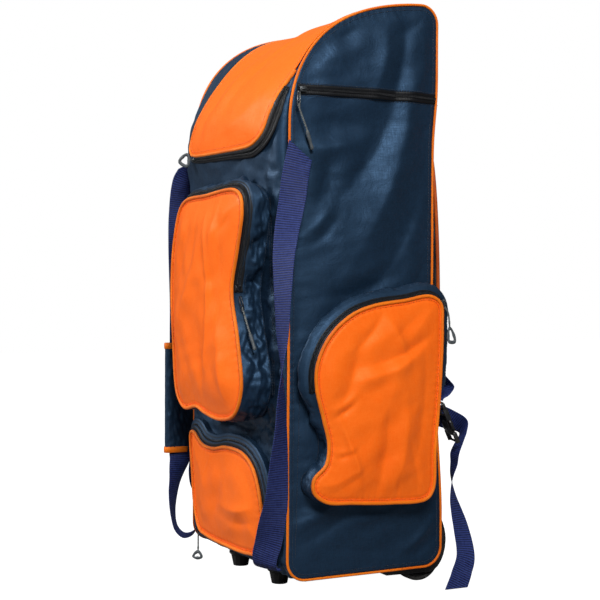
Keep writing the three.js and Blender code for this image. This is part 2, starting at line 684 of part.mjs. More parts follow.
// How far the lid's edge lies inside the side seams, in half widths of the body, at shares of its run
// from the bottom edge up.
const lidEdge = [
  { up: 0, right: 0.541, left: 0.530 },
  { up: 0.011, right: 0.362, left: 0.400 },
  { up: 0.04, right: 0.243, left: 0.335 },
  { up: 0.07, right: 0.189, left: 0.335 },
  { up: 0.13, right: 0.151, left: 0.378 },
  { up: 0.21, right: 0.108, left: 0.443 },
  { up: 0.3, right: 0.043, left: 0.476 },
  { up: 0.35, right: 0.022, left: 0.476 },
  { up: 0.6, right: 0.022, left: 0.411 },
  { up: 1, right: 0.022, left: 0.227 },
];
// The zip band round the lid, from its left hinge end round the front to where it runs out at the right
// seam: width in shares of a zip's.
const lidZipBand = [
  { up: 0, wide: 0.5 },
  { up: 0.4, wide: 0.5 },
  { up: 0.56, wide: 0.65 },
  { up: 0.64, wide: 1.15 },
  { up: 0.72, wide: 1.2 },
  { up: 0.84, wide: 0.6 },
  { up: 1, wide: 0.4 },
];
const lidSteps = 30;
const lidSliderShare = 0.4; // where the lid's slider is, from the left hinge end

// The lid's edge, grown by a fixed amount and a share of the zip band, with the seams as its limits.
function lidOutline(grow, band = 0) {
  const run = (up) => THREE.MathUtils.lerp(lidLow, lidHigh, up);
  const right = lidEdge.map((e) => new THREE.Vector2(halfWidth * (1 - e.right), run(e.up)));
  const left = lidEdge.map((e) => new THREE.Vector2(-halfWidth * (1 - e.left), run(e.up)));
  const round = [...left.reverse(), ...right];
  const curve = new THREE.CatmullRomCurve3(round.map((p) => new THREE.Vector3(p.x, p.y, 0)), false, 'centripetal');
  return Array.from({ length: lidSteps + 1 }, (_, i) => {
    const p = curve.getPointAt(i / lidSteps);
    const t = curve.getTangentAt(i / lidSteps);
    const out = grow + band * zipWidth * readTable(lidZipBand, 'wide', i / lidSteps);
    const isEnd = i === 0 || i === lidSteps;
    return new THREE.Vector2(p.x + t.y * out, isEnd ? lidHigh : p.y - t.x * out);
  });
}

function makeLidAndFront() {
  const inSeam = (p) => new THREE.Vector2(
    THREE.MathUtils.clamp(p.x, -halfWidth + seamInset, halfWidth - seamInset), p.y);
  const closeTop = (points) => {
    const [first, last] = [points[0], points[points.length - 1]];
    return [...points, ...[1, 2, 3, 4].map((k) => last.clone().lerp(first, k / 5))];
  };
  addPiece('lid', panel(closeTop(lidOutline(-seamInset).map(inSeam)), 4, clothHalf,
    (a, b, out) => crownWall(a, b, out)), orangeCloth);
  const piped = lidOutline(0);
  const pipedEnd = piped.findIndex((p) => p.x > halfWidth - 2 * seamInset - pipingRadius);
  addPiece('lid_piping', pipingAlong(
    piped.slice(0, pipedEnd).map((p) => crownWall(p.x, p.y, 0)), false), orangePiping);
  const inner = lidOutline(seamInset);
  const outer = lidOutline(seamInset, 1);
  const lastRow = outer.findIndex((q) => q.x > halfWidth - seamInset - 4 * fitGap);
  const zipRows = inner.slice(0, lastRow).map((p, i) => [p, outer[i]]);
  addPiece('lid_zip', loft(zipRows.map(([p, q]) => [
    crownWall(p.x, p.y, -zipThick / 2), crownWall(q.x, q.y, -zipThick / 2),
    crownWall(q.x, q.y, zipThick / 2), crownWall(p.x, p.y, zipThick / 2),
  ]), false), blackZip);
  // The columns crowd towards the seams, where the stuffed front turns in.
  const strip = asSolid(sheet(8, 24, clothHalf, (i, j, out) => {
    const a = Math.sin((i - 0.5) * Math.PI) * (halfWidth - seamInset);
    return crownWall(a, fitGap + (frontRun - 2 * fitGap) * j, out);
  }));
  const cut = closeTop(lidOutline(seamInset + fitGap, 1).map((p) => (
    new THREE.Vector2(p.x, p.y === lidHigh ? lidHigh + 3 * fitGap : p.y))));
  const cutter = asSolid(panel(cut, 4, 6 * clothThick, crownWall));
  addPiece('front_panel', fromSolid(strip.subtract(cutter)), navyCloth);
  const atSlider = Math.round(lidSteps * lidSliderShare);
  const seat = inner[atSlider].clone().add(outer[atSlider]).multiplyScalar(0.5);
  return crownWall(seat.x, seat.y, zipThick / 2 + fitGap + lidStem[0].r);
}

// Back panel and base board, both cut away for the wheel housings
function makeBackAndBase(cutters) {
  const back = asSolid(sheet(2, 12, backPadThick / 2, (i, j, out) => {
    const share = THREE.MathUtils.lerp(0.003, 0.997, j);
    const { p, n } = pathPlace(backPath, share);
    const a = (i - 0.5) * 2 * (halfWidth - seamInset);
    const pad = (backPadThick - clothThick) / 2;
    return new THREE.Vector3(a, p.x + n.x * (out - pad), p.y + n.y * (out - pad));
  }));
  addPiece('back_panel', fromSolid(cutters.reduce((solid, c) => solid.subtract(c), back)), blackMesh);
  const from = -halfDepth + frontCornerRadius + fitGap;
  const to = heelLine - heelRadius - 2;
  const board = bare(new THREE.BoxGeometry(bodyWidth - 2 * seamInset, to - from, boardThick));
  board.translate(0, (from + to) / 2, baseHeight + clothHalf - boardThick / 2);
  const base = cutters.reduce((solid, c) => solid.subtract(c), asSolid(board));
  addPiece('base_board', fromSolid(base), blackPlastic);
}

// Flat webbing through rows that hold a point, the turn of its width from +Y towards +X, and the width's
// tilt out of level, in degrees. A slanted section is longer, so that the webbing keeps its width.
function webbing(rows, width, thick, steps, side = 1) {
  const path = new THREE.CatmullRomCurve3(
    rows.map((r) => new THREE.Vector3(side * r.x, r.y, r.z)), false, 'centripetal');
  const sections = [];
  for (let i = 0; i <= steps; i++) {
    const t = i / steps;
    const p = path.getPoint(t);
    const tangent = path.getTangent(t);
    const at = t * (rows.length - 1);
    const k = Math.min(Math.floor(at), rows.length - 2);
    const angle = (key) => THREE.MathUtils.degToRad(
      THREE.MathUtils.lerp(rows[k][key] ?? 0, rows[k + 1][key] ?? 0, at - k));
    const level = Math.cos(angle('tilt'));
    const wide = new THREE.Vector3(
      side * Math.sin(angle('turn')) * level, Math.cos(angle('turn')) * level, Math.sin(angle('tilt')));
    const flat = new THREE.Vector3().crossVectors(wide, tangent);
    const reach = width / 2 / Math.max(flat.length(), 0.5);
    flat.normalize();
    sections.push([[-1, -1], [1, -1], [1, 1], [-1, 1]].map(([w, f]) => p.clone()
      .addScaledVector(wide, w * reach).addScaledVector(flat, (f * thick) / 2)));
  }
  return loft(sections, false);
}

// The carry straps lie beside the front corners. Each row: strap widths out from the side seam, strap
// widths ahead of the front seam, share of the height above the base board, turn and tilt.
const strapFloor = baseHeight + clothHalf - boardThick - fitGap - carryThick / 2;
const strapRow = ({ out, ahead, up, turn, tilt }) => ({
  x: halfWidth + out * carryWidth,
  y: -halfDepth - ahead * carryWidth,
  z: THREE.MathUtils.lerp(strapFloor, bodyHeight, up),
  turn,
  tilt,
});
// The right strap leaves the side seam near the lid, hangs with a half turn and ends at the front's lower edge.
const rightCarry = [
  { out: 0.178, ahead: -0.36, up: 0.733, turn: 12, tilt: -46 },
  { out: 0.173, ahead: -0.14, up: 0.685, turn: 22 },
  { out: 0.173, ahead: -0.04, up: 0.652, turn: 34 },
  { out: 0.27, ahead: 0.24, up: 0.596, turn: 52 },
  { out: 0.44, ahead: 0.44, up: 0.55, turn: 65 },
  { out: 0.54, ahead: 0.51, up: 0.513, turn: 74 },
  { out: 0.61, ahead: 0.56, up: 0.486, turn: 80 },
  { out: 0.68, ahead: 0.61, up: 0.418, turn: 92 },
  { out: 0.73, ahead: 0.64, up: 0.37, turn: 115 },
  { out: 0.76, ahead: 0.66, up: 0.32, turn: 133 },
  { out: 0.73, ahead: 0.66, up: 0.266, turn: 142 },
  { out: 0.66, ahead: 0.71, up: 0.214, turn: 158 },
  { out: 0.53, ahead: 0.75, up: 0.148, turn: 174 },
  { out: 0.33, ahead: 0.78, up: 0.116, turn: 195 },
  { out: -0.07, ahead: 0.76, up: 0.073, turn: 220 },
  { out: -0.26, ahead: 0.8, up: 0.05, turn: 230 },
  { out: -0.4, ahead: 0.74, up: 0.034, turn: 240 },
  { out: -0.6, ahead: 0.54, up: 0.0255, turn: 252 },
  { out: -0.8, ahead: 0.3, up: 0.023, turn: 262 },
  { out: -0.98, ahead: 0.06, up: 0.022, turn: 270 },
].map(strapRow);
// The left strap passes through the grip, hangs in a loop below it and returns to the side seam.
const gripOut = 0.56;
const gripAhead = 0.41;
const leftCarry = [
  { out: 0.108, ahead: 0.1, up: 0.742, turn: 0, tilt: 32 },
  { out: 0.3, ahead: 0.41, up: 0.7, turn: -4 },
  { out: 0.44, ahead: 0.51, up: 0.64, turn: -4 },
  { out: 0.51, ahead: 0.51, up: 0.58, turn: -2 },
  { out: gripOut, ahead: gripAhead, up: 0.46, turn: 0 },
  { out: gripOut, ahead: gripAhead, up: 0.41, turn: 0 },
  { out: gripOut, ahead: gripAhead, up: 0.33, turn: 0 },
  { out: gripOut, ahead: gripAhead, up: 0.24, turn: 0 },
  { out: gripOut, ahead: gripAhead, up: 0.172, turn: 0 },
  { out: gripOut, ahead: gripAhead, up: 0.16, turn: 0 },
  { out: 0.68, ahead: 0.52, up: 0.13, turn: 34 },
  { out: 0.75, ahead: 0.64, up: 0.098, turn: 44 },
  { out: 0.76, ahead: 0.66, up: 0.052, turn: 58 },
  { out: 0.76, ahead: 0.48, up: 0.021, turn: 62 },
  { out: 0.76, ahead: 0.1, up: 0.007, turn: 63 },
  { out: 0.76, ahead: -0.34, up: 0.013, turn: 63 },
  { out: 0.74, ahead: -0.5, up: 0.04, turn: 61 },
  { out: 0.7, ahead: -0.5, up: 0.083, turn: 54 },
  { out: 0.56, ahead: -0.17, up: 0.122, turn: 42 },
  { out: 0.38, ahead: 0.08, up: 0.15, turn: 25 },
  { out: 0.2, ahead: 0.12, up: 0.175, turn: 8 },
  { out: 0.108, ahead: 0, up: 0.22, turn: 0 },
].map(strapRow);

// The grip: a padded cloth folded round the left strap, open towards the back.
const gripLow = 0.1743;
function makeGrip() {
  const strap = strapRow({ out: gripOut, ahead: gripAhead, up: gripLow });
  const half = gripThick + carryThick / 2 + 2 * fitGap;
  const slot = carryThick / 2 + 2 * fitGap;
  const front = -gripDepth / 2 - carryThick;
  const back = gripDepth / 2;
  const round = gripThick * 0.75;
  const outline = [
    [back, half], [front + round, half], [front, half - round], [front, -half + round],
    [front + round, -half], [back, -half],
    [back, -slot], [front + gripThick, -slot], [front + gripThick, slot], [back, slot],
  ];
  const cap = THREE.ShapeUtils.triangulateShape(outline.map(([y, x]) => new THREE.Vector2(y, x)), []);
  const levels = [0, 0.06, 0.94, 1];
  const sections = levels.map((level) => outline.map(([y, x]) => {
    const full = Math.abs(x) > slot && level > 0 && level < 1 ? 1.1 : 1;
    return new THREE.Vector3(-strap.x + x * full, strap.y + y, strap.z + gripHeight * level);
  }));
  addPiece('grip_wrap', loft(sections, false, cap), navyCloth);
}

// Shoulder straps on the back: a long pad with a bound edge. Each row: share of the half width, share of
// the pad's thickness that it stands off the back, share of the height.
const padPath = [
  { aside: 0.335, off: 0.15, up: 0.92 },
  { aside: 0.454, off: 0.2, up: 0.865 },
  { aside: 0.638, off: 0.4, up: 0.784 },
  { aside: 0.757, off: 0.35, up: 0.712 },
  { aside: 0.805, off: 0.5, up: 0.62 },
  { aside: 0.815, off: 0.72, up: 0.52 },
  { aside: 0.815, off: 0.6, up: 0.4 },
];
const padSteps = 10;

// Depth of the back's outer face at a height.
function backFaceAt(height) {
  const fine = 200;
  const share = Array.from({ length: fine + 1 }, (_, k) => k / fine).find((k) => pathPlace(backPath, k).p.y <= height);
  return pathPlace(backPath, share ?? 1).p.x + clothHalf;
}

const padPoint = (row) => new THREE.Vector3(
  halfWidth * row.aside, backFaceAt(bodyHeight * row.up) + padThick * (row.off + 0.5), bodyHeight * row.up);
const padFoot = padPoint(padPath.at(-1));

function padFrame(side) {
  const path = new THREE.CatmullRomCurve3(
    padPath.map((row) => padPoint(row).multiply(new THREE.Vector3(side, 1, 1))), false, 'centripetal');
  return Array.from({ length: padSteps + 1 }, (_, i) => {
    const p = path.getPointAt(i / padSteps);
    const tangent = path.getTangentAt(i / padSteps);
    const flat = new THREE.Vector3(0, 1, 0);
    flat.addScaledVector(tangent, -flat.dot(tangent)).normalize();
    const wide = new THREE.Vector3().crossVectors(tangent, flat);
    return { p, tangent, wide, flat };
  });
}

function makeShoulderStrap(label, side) {
  const frames = padFrame(side);
  const half = padWidth / 2 - seamInset;
  const across = [[-1, -0.3], [-0.8, -1], [0.8, -1], [1, -0.3], [1, 0.3], [0.8, 1], [-0.8, 1], [-1, 0.3]];
  addPiece(`shoulder_pad_${label}`, loft(frames.map(({ p, wide, flat }) => across.map(([w, f]) => p.clone()
    .addScaledVector(wide, w * half).addScaledVector(flat, (f * padThick) / 2))), false), blackMesh);
  const edge = padWidth / 2;
  const end = frames[padSteps];
  const rail = (sign) => [
    ...frames.map(({ p, wide }) => p.clone().addScaledVector(wide, sign * edge)),
    end.p.clone().addScaledVector(end.wide, sign * edge).addScaledVector(end.tangent, seamInset),
  ];
  addPiece(`shoulder_binding_${label}`, pipingAlong([...rail(1), ...rail(-1).reverse()], false), orangePiping);
}

// The lower end of each shoulder strap: webbing out of the pad, a side-release buckle, and the webbing
// from the back seam that runs through the buckle and hangs down to the floor.
// Each row: strap widths from the pad's foot, to the side, backwards and up, with turn and tilt.
const buckleTop = { out: 0.7, behind: 0.08, up: -2.08 };
const buckleFoot = { out: 0.87, behind: 0.84, up: -3.86 };
const buckleWidth = 46;
const buckleThick = 11;
const buckleTurn = 105;
const slimRow = ({ out, behind, up, turn, tilt }) => ({
  x: padFoot.x + out * slimWidth,
  y: padFoot.y + behind * slimWidth,
  z: padFoot.z + up * slimWidth,
  turn,
  tilt,
});
const padWebbing = [
  { out: 0, behind: 0, up: -0.175, turn: 90 },
  { out: 0.08, behind: 0.22, up: -0.72, turn: 90 },
  { out: 0.24, behind: 0.6, up: -1.2, turn: 88 },
  { out: 0.39, behind: 0.76, up: -1.5, turn: 88 },
  { out: 0.5, behind: 0.5, up: -1.8, turn: 94 },
  { out: 0.64, behind: 0.12, up: -1.96, turn: 100 },
  { out: 0.69, behind: 0.07, up: -2.04, turn: 105 },
].map(slimRow);
const tailWebbing = [
  { out: -0.06, behind: 0.12, up: -2.76, turn: 90, tilt: 76 },
  { out: -0.035, behind: 0.5, up: -2.8, turn: 90, tilt: 72 },
  { out: 0.08, behind: 1.2, up: -3.05, turn: 92, tilt: 58 },
  { out: 0.22, behind: 1.72, up: -3.32, turn: 96, tilt: 42 },
  { out: 0.6, behind: 1.45, up: -3.62, turn: 102, tilt: 24 },
  { out: 0.84, behind: 1.1, up: -3.95, turn: 102, tilt: 10 },
  { out: 0.95, behind: 0.82, up: -4.4, turn: 102 },
  { out: 1.05, behind: 0.72, up: -4.8, turn: 106 },
  { out: 1.15, behind: 0.54, up: -5.35, turn: 118 },
  { out: 1.32, behind: 0.5, up: -6.2, turn: 138 },
  { out: 1.5, behind: 0.56, up: -6.8, turn: 152 },
  { out: 1.75, behind: 0.62, up: -7.5, turn: 164 },
  { out: 2.2, behind: 0.55, up: -8.6, turn: 172 },
  { out: 2.4, behind: 0.22, up: -9.3, turn: 178 },
].map(slimRow);
// The tail's last row lies on the floor, wherever that is from the pad.
tailWebbing.push({ ...slimRow({ out: 2.5, behind: -0.1, up: 0, turn: 182 }), z: slimThick });

function makeBuckle(label, side) {
  const [top, foot] = [slimRow(buckleTop), slimRow(buckleFoot)];
  const start = new THREE.Vector3(foot.x, foot.y, foot.z);
  const along = new THREE.Vector3(top.x, top.y, top.z).sub(start);
  const length = along.length();
  along.normalize();
  const shape = new THREE.Shape();
  const half = buckleWidth / 2;
  const waist = half - buckleWidth / 8;
  shape.moveTo(-half, 0);
  shape.lineTo(half, 0);
  shape.lineTo(half, length * 0.42);
  shape.lineTo(waist, length * 0.5);
  shape.lineTo(half, length * 0.58);
  shape.lineTo(half, length);
  shape.lineTo(-half, length);
  shape.lineTo(-half, length * 0.58);
  shape.lineTo(-waist, length * 0.5);
  shape.lineTo(-half, length * 0.42);
  const body = bare(new THREE.ExtrudeGeometry(shape, { depth: buckleThick, bevelEnabled: false }));
  body.translate(0, 0, -buckleThick / 2);
  const turn = THREE.MathUtils.degToRad(buckleTurn);
  const across = new THREE.Vector3(Math.sin(turn), Math.cos(turn), 0);
  across.addScaledVector(along, -across.dot(along)).normalize();
  const flat = new THREE.Vector3().crossVectors(across, along);
  body.applyMatrix4(new THREE.Matrix4().makeBasis(across, along, flat).setPosition(start));
  if (side < 0) body.applyMatrix4(new THREE.Matrix4().makeScale(-1, 1, 1));
  const merged = mergeVertices(body, 1e-4);
  const points = [];
  const position = merged.attributes.position;
  for (let i = 0; i < position.count; i++) points.push(new THREE.Vector3().fromBufferAttribute(position, i));
  addPiece(`buckle_${label}`, closedGeometry(points, Array.from(merged.index.array)), blackPlastic);
}

// A zip pull's slider, cord and grip: rows of offsets from where the slider sits, with a radius.
function pullRod(seat, rows, side = 1) {
  const points = rows.map((r) => seat.clone().add(new THREE.Vector3(side * r.x, r.y, r.z)));
  const right = new THREE.Vector3(0.31, 0.95, 0.02);
  const sections = points.map((p, i) => {
    const tangent = points[Math.min(i + 1, rows.length - 1)].clone().sub(points[Math.max(i - 1, 0)]).normalize();
    right.addScaledVector(tangent, -right.dot(tangent)).normalize();
    const up = new THREE.Vector3().crossVectors(tangent, right);
    return Array.from({ length: 4 }, (_, k) => p.clone()
      .addScaledVector(right, rows[i].r * Math.cos((k * Math.PI) / 2))
      .addScaledVector(up, rows[i].r * Math.sin((k * Math.PI) / 2)));
  });
  return loft(sections, false);
}

// A pull that ends in a three-cornered ring.
const ringRadius = 1.8;
function ringPull(seat, stem, corners, side = 1) {
  const points = corners.flatMap((c, i) => {
    const next = corners[(i + 1) % corners.length];
    return [0.12, 0.88].map((t) => seat.clone().add(new THREE.Vector3(
      side * THREE.MathUtils.lerp(c.x, next.x, t), THREE.MathUtils.lerp(c.y, next.y, t),
      THREE.MathUtils.lerp(c.z, next.z, t))));
  });
  const middle = points.reduce((sum, p) => sum.addScaledVector(p, 1 / points.length), new THREE.Vector3());
  const normal = points[0].clone().sub(middle).cross(points[2].clone().sub(middle)).normalize();
  const sections = points.map((p) => {
    const away = p.clone().sub(middle).normalize();
    return [[1, 0], [0, 1], [-1, 0], [0, -1]].map(([u, v]) => p.clone()
      .addScaledVector(away, ringRadius * u).addScaledVector(normal, ringRadius * v));
  });
  return fromSolid(asSolid(pullRod(seat, stem, side)).add(asSolid(loft(sections, true))));
}

// Offsets from the slider's seat, in zip widths: x is outwards for the side pulls.
const inZips = (rows) => rows.map(({ x, y, z, r = 0 }) => ({
  x: x * zipWidth, y: y * zipWidth, z: z * zipWidth, r: r * zipWidth,
}));
const sidePull = inZips([
  { x: 0, y: 0.562, z: 0, r: 0.25 }, { x: 0, y: -0.25, z: 0, r: 0.25 },
  { x: 0.188, y: -0.562, z: -0.438, r: 0.212 }, { x: 0.375, y: -0.688, z: -1.625, r: 0.188 },
  { x: 0.438, y: -0.625, z: -1.938, r: 0.075 }, { x: 0.5, y: 0.125, z: -3.875, r: 0.075 },
  { x: 0.5, y: 0.219, z: -4.188, r: 0.188 }, { x: 0.5, y: 0.75, z: -5.812, r: 0.175 },
]);
const upperPull = inZips([
  { x: 0.031, y: 0, z: 0.188, r: 0.25 }, { x: 0.125, y: 0, z: -0.438, r: 0.25 },
  { x: 0.5, y: 0.062, z: -0.938, r: 0.212 }, { x: 0.812, y: 0.188, z: -2, r: 0.188 },
  { x: 0.875, y: 0.25, z: -2.312, r: 0.075 }, { x: 1.625, y: 0.5, z: -4.125, r: 0.075 },
  { x: 1.75, y: 0.562, z: -4.438, r: 0.175 }, { x: 2.312, y: 0.812, z: -5.938, r: 0.175 },
]);
const pocketStem = inZips([
  { x: 0, y: 0, z: 0.375, r: 0.212 }, { x: 0, y: 0.125, z: -0.375, r: 0.212 },
  { x: 0.188, y: 0.375, z: -0.875, r: 0.081 }, { x: 0.312, y: 0.5, z: -2.125, r: 0.081 },
  { x: 0.312, y: 0.5, z: -2.438, r: 0.081 },
]);
const pocketRing = inZips([
  { x: 0.312, y: 0.5, z: -2.25 }, { x: 0.562, y: 1.125, z: -3.875 }, { x: 0.562, y: 0.188, z: -3.875 },
]);
const lidStem = inZips([
  { x: 0.25, y: 0, z: 0, r: 0.225 }, { x: 0, y: -0.125, z: 0, r: 0.225 },
  { x: -0.375, y: -0.438, z: 0, r: 0.163 },
]);
const lidRing = inZips([
  { x: -0.375, y: -0.438, z: 0.75 }, { x: -0.375, y: -0.438, z: -0.75 },
  { x: -1.188, y: -1.25, z: -0.125 },
]);
const lowerStem = inZips([
  { x: -0.125, y: 0, z: 0.25, r: 0.2 }, { x: 0, y: 0, z: -0.25, r: 0.2 },
  { x: 0, y: 0, z: -0.75, r: 0.081 }, { x: 0, y: 0, z: -2.5, r: 0.081 },
]);
const lowerRing = inZips([
  { x: 0, y: 0, z: -2.375 }, { x: -0.75, y: -0.375, z: -3.188 }, { x: 0.562, y: 0.25, z: -3.062 },
]);

// Assembly
const cutters = [1, -1].map(housingCutter);
for (const [label, side] of [['right', 1], ['left', -1]]) {
  const zipSeat = makeSide(label, side);
  addPiece(`side_pull_${label}`, pullRod(zipSeat, sidePull, side), greyPull);
  const pocketSeat = makeSidePocket(label, side)(sidePocketBox.high.x, sidePocketBox.high.y - 14, pocketStem[0].r * 0.7);
  addPiece(`side_pocket_${label}_pull`, ringPull(pocketSeat, pocketStem, pocketRing, side), greyPull);
  makeHousing(`wheel_housing_${label}`, side);
  makeWheel(`wheel_${label}`, side);
  const axle = cylinderX(axleRadius, housingWidth, 10, wheelCentre(side));
  addPiece(`axle_${label}`, fromSolid(axle), steel);
  makeFoot(`foot_${label}`, side);
  makeShoulderStrap(label, side);
  makeBuckle(label, side);
  addPiece(`pad_webbing_${label}`, webbing(padWebbing, slimWidth, slimThick, 10, side), blueWebbing);
  addPiece(`tail_webbing_${label}`, webbing(tailWebbing, slimWidth, slimThick, 26, side), blueWebbing);
}
addPiece('lid_pull', ringPull(makeLidAndFront(), lidStem, lidRing), greyPull);
makeBackAndBase(cutters);
const upperSeat = makeFrontPocket(
  'upper_pocket', upperPocketEdge, upperPocketBox, upperPocketDepth, 28, 3, 0.1, 0.82, upperPocketPuff, 0);
addPiece('upper_pocket_pull', pullRod(upperSeat(108, 484, upperPull[0].r), upperPull), greyPull);
const lowerSeat = makeFrontPocket(
  'lower_pocket', lowerPocketEdge, lowerPocketBox, lowerPocketDepth, 26, 3, 0.2, 0.94, lowerPocketPuff, 3);
addPiece('lower_pocket_pull', ringPull(lowerSeat(-122, 60, lowerStem[0].r), lowerStem, lowerRing), greyPull);
addPiece('carry_strap_right', webbing(rightCarry, carryWidth, carryThick, 36), blueWebbing);
addPiece('carry_strap_left', webbing(leftCarry, carryWidth, carryThick, 36, -1), blueWebbing);
makeGrip();

// The frame's origin is on the floor, under the middle of the whole.
const whole = new THREE.Box3().setFromObject(bag);
bag.position.set(-(whole.min.x + whole.max.x) / 2, -(whole.min.y + whole.max.y) / 2, -whole.min.z);

export default bag;
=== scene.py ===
import math
import bmesh
import bpy
import numpy as np
from mathutils import Matrix, Vector


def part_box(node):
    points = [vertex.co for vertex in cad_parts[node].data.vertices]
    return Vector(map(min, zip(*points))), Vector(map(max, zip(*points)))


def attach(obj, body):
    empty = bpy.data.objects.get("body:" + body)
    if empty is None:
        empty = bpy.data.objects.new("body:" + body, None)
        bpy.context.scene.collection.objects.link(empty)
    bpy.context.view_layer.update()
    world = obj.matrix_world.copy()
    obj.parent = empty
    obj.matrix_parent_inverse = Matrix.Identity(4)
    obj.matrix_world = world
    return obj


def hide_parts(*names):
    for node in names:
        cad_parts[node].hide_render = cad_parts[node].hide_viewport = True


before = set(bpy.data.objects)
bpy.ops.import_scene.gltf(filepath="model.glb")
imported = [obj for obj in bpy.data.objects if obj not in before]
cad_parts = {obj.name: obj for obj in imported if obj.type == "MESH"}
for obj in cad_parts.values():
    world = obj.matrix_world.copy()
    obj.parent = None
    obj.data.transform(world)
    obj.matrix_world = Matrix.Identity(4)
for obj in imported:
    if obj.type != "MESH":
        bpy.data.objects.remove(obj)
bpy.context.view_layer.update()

# Side panels: upright sheets of navy 600 denier polyester with a coated back, cut to the bag's profile and
# sewn to the front, back and base with a corded seam. The stuffing pushes them out in broad soft folds.
panel_aside = 185.0
cloth_wall = 0.0016
side_swell = 7.0
front_seam = -139.0
axle_low, axle_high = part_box("axle_right")
bag_middle = (axle_low.y + axle_high.y) / 2 - 0.118


def in_metres(points):
    """Millimetres from the bag's own middle to metres in the frame."""
    return np.asarray(points, float) / 1000 + (0.0, bag_middle, 0.0)


def arc(centre, radius, start, turn, count=24):
    a = np.radians(np.linspace(start, start + turn, count))
    return np.c_[centre[0] + radius * np.cos(a), centre[1] + radius * np.sin(a)]


def bend(p0, p1, p2, p3, count=60):
    t = np.linspace(0, 1, count)[:, None]
    p0, p1, p2, p3 = (np.array(p, float) for p in (p0, p1, p2, p3))
    return (1 - t) ** 3 * p0 + 3 * (1 - t) ** 2 * t * p1 + 3 * (1 - t) * t**2 * p2 + t**3 * p3


def even(points, count, closed=False):
    """A line of points at even steps along a rougher line."""
    points = np.asarray(points, float)
    if closed:
        points = np.vstack([points, points[:1]])
    at = np.r_[0, np.cumsum(np.linalg.norm(np.diff(points, axis=0), axis=1))]
    steps = np.linspace(0, at[-1], count + 1 if closed else count)[: count]
    return np.stack([np.interp(steps, at, points[:, k]) for k in range(points.shape[1])], 1)


front_line = even(np.vstack([
    arc((-107, 59.5), 32, -90, -90), [(-139, 300), (-139, 600)],
    bend((-139, 741.5), (-139, 827.2), (-95, 886.5), (-30, 916.5)),
    bend((-30, 916.5), (4, 932.5), (54, 942.5), (101, 944.5))[1:],
    arc((101, 914.5), 30, 90, -90)[1:]]), 1400)
back_line = even(np.vstack([
    [(131, 914.5)], bend((131, 840.6), (131, 765), (124, 765), (124, 698.9)),
    bend((124, 491.1), (124, 311.7), (145, 207.8), (145, 113.3)), arc((113, 59.5), 32, 0, -90)]), 1000)
profile = even(np.vstack([front_line, back_line[1:], even([(113, 27.5), (-107, 27.5)], 60)[1:-1]]), 1600, True)


def edge_ways(line, closed):
    """Unit directions to the left of a line of points in its plane: outwards from the profile."""
    along = np.roll(line, -1, 0) - np.roll(line, 1, 0)
    if not closed:
        along[0], along[-1] = line[1] - line[0], line[-1] - line[-2]
    along /= np.linalg.norm(along, axis=1)[:, None]
    return np.c_[-along[:, 1], along[:, 0]]


def between(loop, start, end, count):
    """The part of a closed line that runs forwards from near one point to near another."""
    i, j = (int(np.argmin(np.linalg.norm(loop - p, axis=1))) for p in (start, end))
    return even(loop[np.arange(i, j + 1 if j > i else j + len(loop) + 1) % len(loop)], count)


def patch(left, right, low, high):
    """A grid stretched between four edges: left and right run upwards, low and high run to the right."""
    v, u = np.linspace(0, 1, len(left))[:, None, None], np.linspace(0, 1, len(low))[None, :, None]
    corners = ((1 - u) * (1 - v) * low[0] + u * (1 - v) * low[-1] + (1 - u) * v * high[0] + u * v * high[-1])
    return (1 - u) * left[:, None] + u * right[:, None] + (1 - v) * low[None] + v * high[None] - corners


def edge_reach(a, b, loop, closed=True):
    """Distance of points from an edge, and the place along it of the nearest point, both in millimetres."""
    here = np.c_[np.ravel(a), np.ravel(b)]
    start = loop if closed else loop[:-1]
    span = (np.roll(loop, -1, 0) if closed else loop[1:]) - start
    size = np.maximum((span**2).sum(1), 1e-9)
    at = np.r_[0, np.cumsum(np.sqrt(size))][:-1]
    best, place = np.full(len(here), 1e9), np.zeros(len(here))
    for p, d, s, l in zip(start, span, size, at):
        t = np.clip(((here - p) @ d) / s, 0, 1)
        away = np.hypot(*(here - p - t[:, None] * d).T)
        near = away < best
        best[near], place[near] = away[near], (l + t * math.sqrt(s))[near]
    return best.reshape(np.shape(a)), place.reshape(np.shape(a))


def fold_height(a, b, folds):
    """Ridges and hollows of cloth. Each: middle, lean from upright, half length, half width, height."""
    out = np.zeros(np.shape(a))
    for fa, fb, turn, long, wide, deep in folds:
        s, c = math.sin(math.radians(turn)), math.cos(math.radians(turn))
        along, off = (a - fa) * s + (b - fb) * c, (a - fa) * c - (b - fb) * s
        off = off + 0.12 * long * (along / long) ** 2
        out += deep * np.exp(-((along / long) ** 2)) * np.exp(-np.abs(off / wide) ** 1.5)
    return out


def crumple(a, b, seed, waves=(28, 80), size=0.5):
    """Small uneven waves of handled cloth."""
    dice, out = np.random.RandomState(seed), np.zeros(np.shape(a))
    for _ in range(14):
        way, length, start = dice.uniform(0, math.pi), dice.uniform(*waves), dice.uniform(0, 2 * math.pi)
        out += np.sin((a * math.cos(way) + b * math.sin(way)) * 2 * math.pi / length + start
                      + 1.3 * np.sin(b / length * 2.1 + start))
    return out * size / 3.7


def pucker(reach, place, pitch=13.0, deep=0.9, wide=13.0):
    """Gathers where a seam draws the cloth in."""
    wave = np.sin(place * 2 * math.pi / pitch + 1.7 * np.sin(place / 31)) * (0.6 + 0.4 * np.sin(place / 47 + 1))
    return deep * wave * np.exp(-((reach / wide) ** 1.3)) * np.minimum(reach / 4, 1)


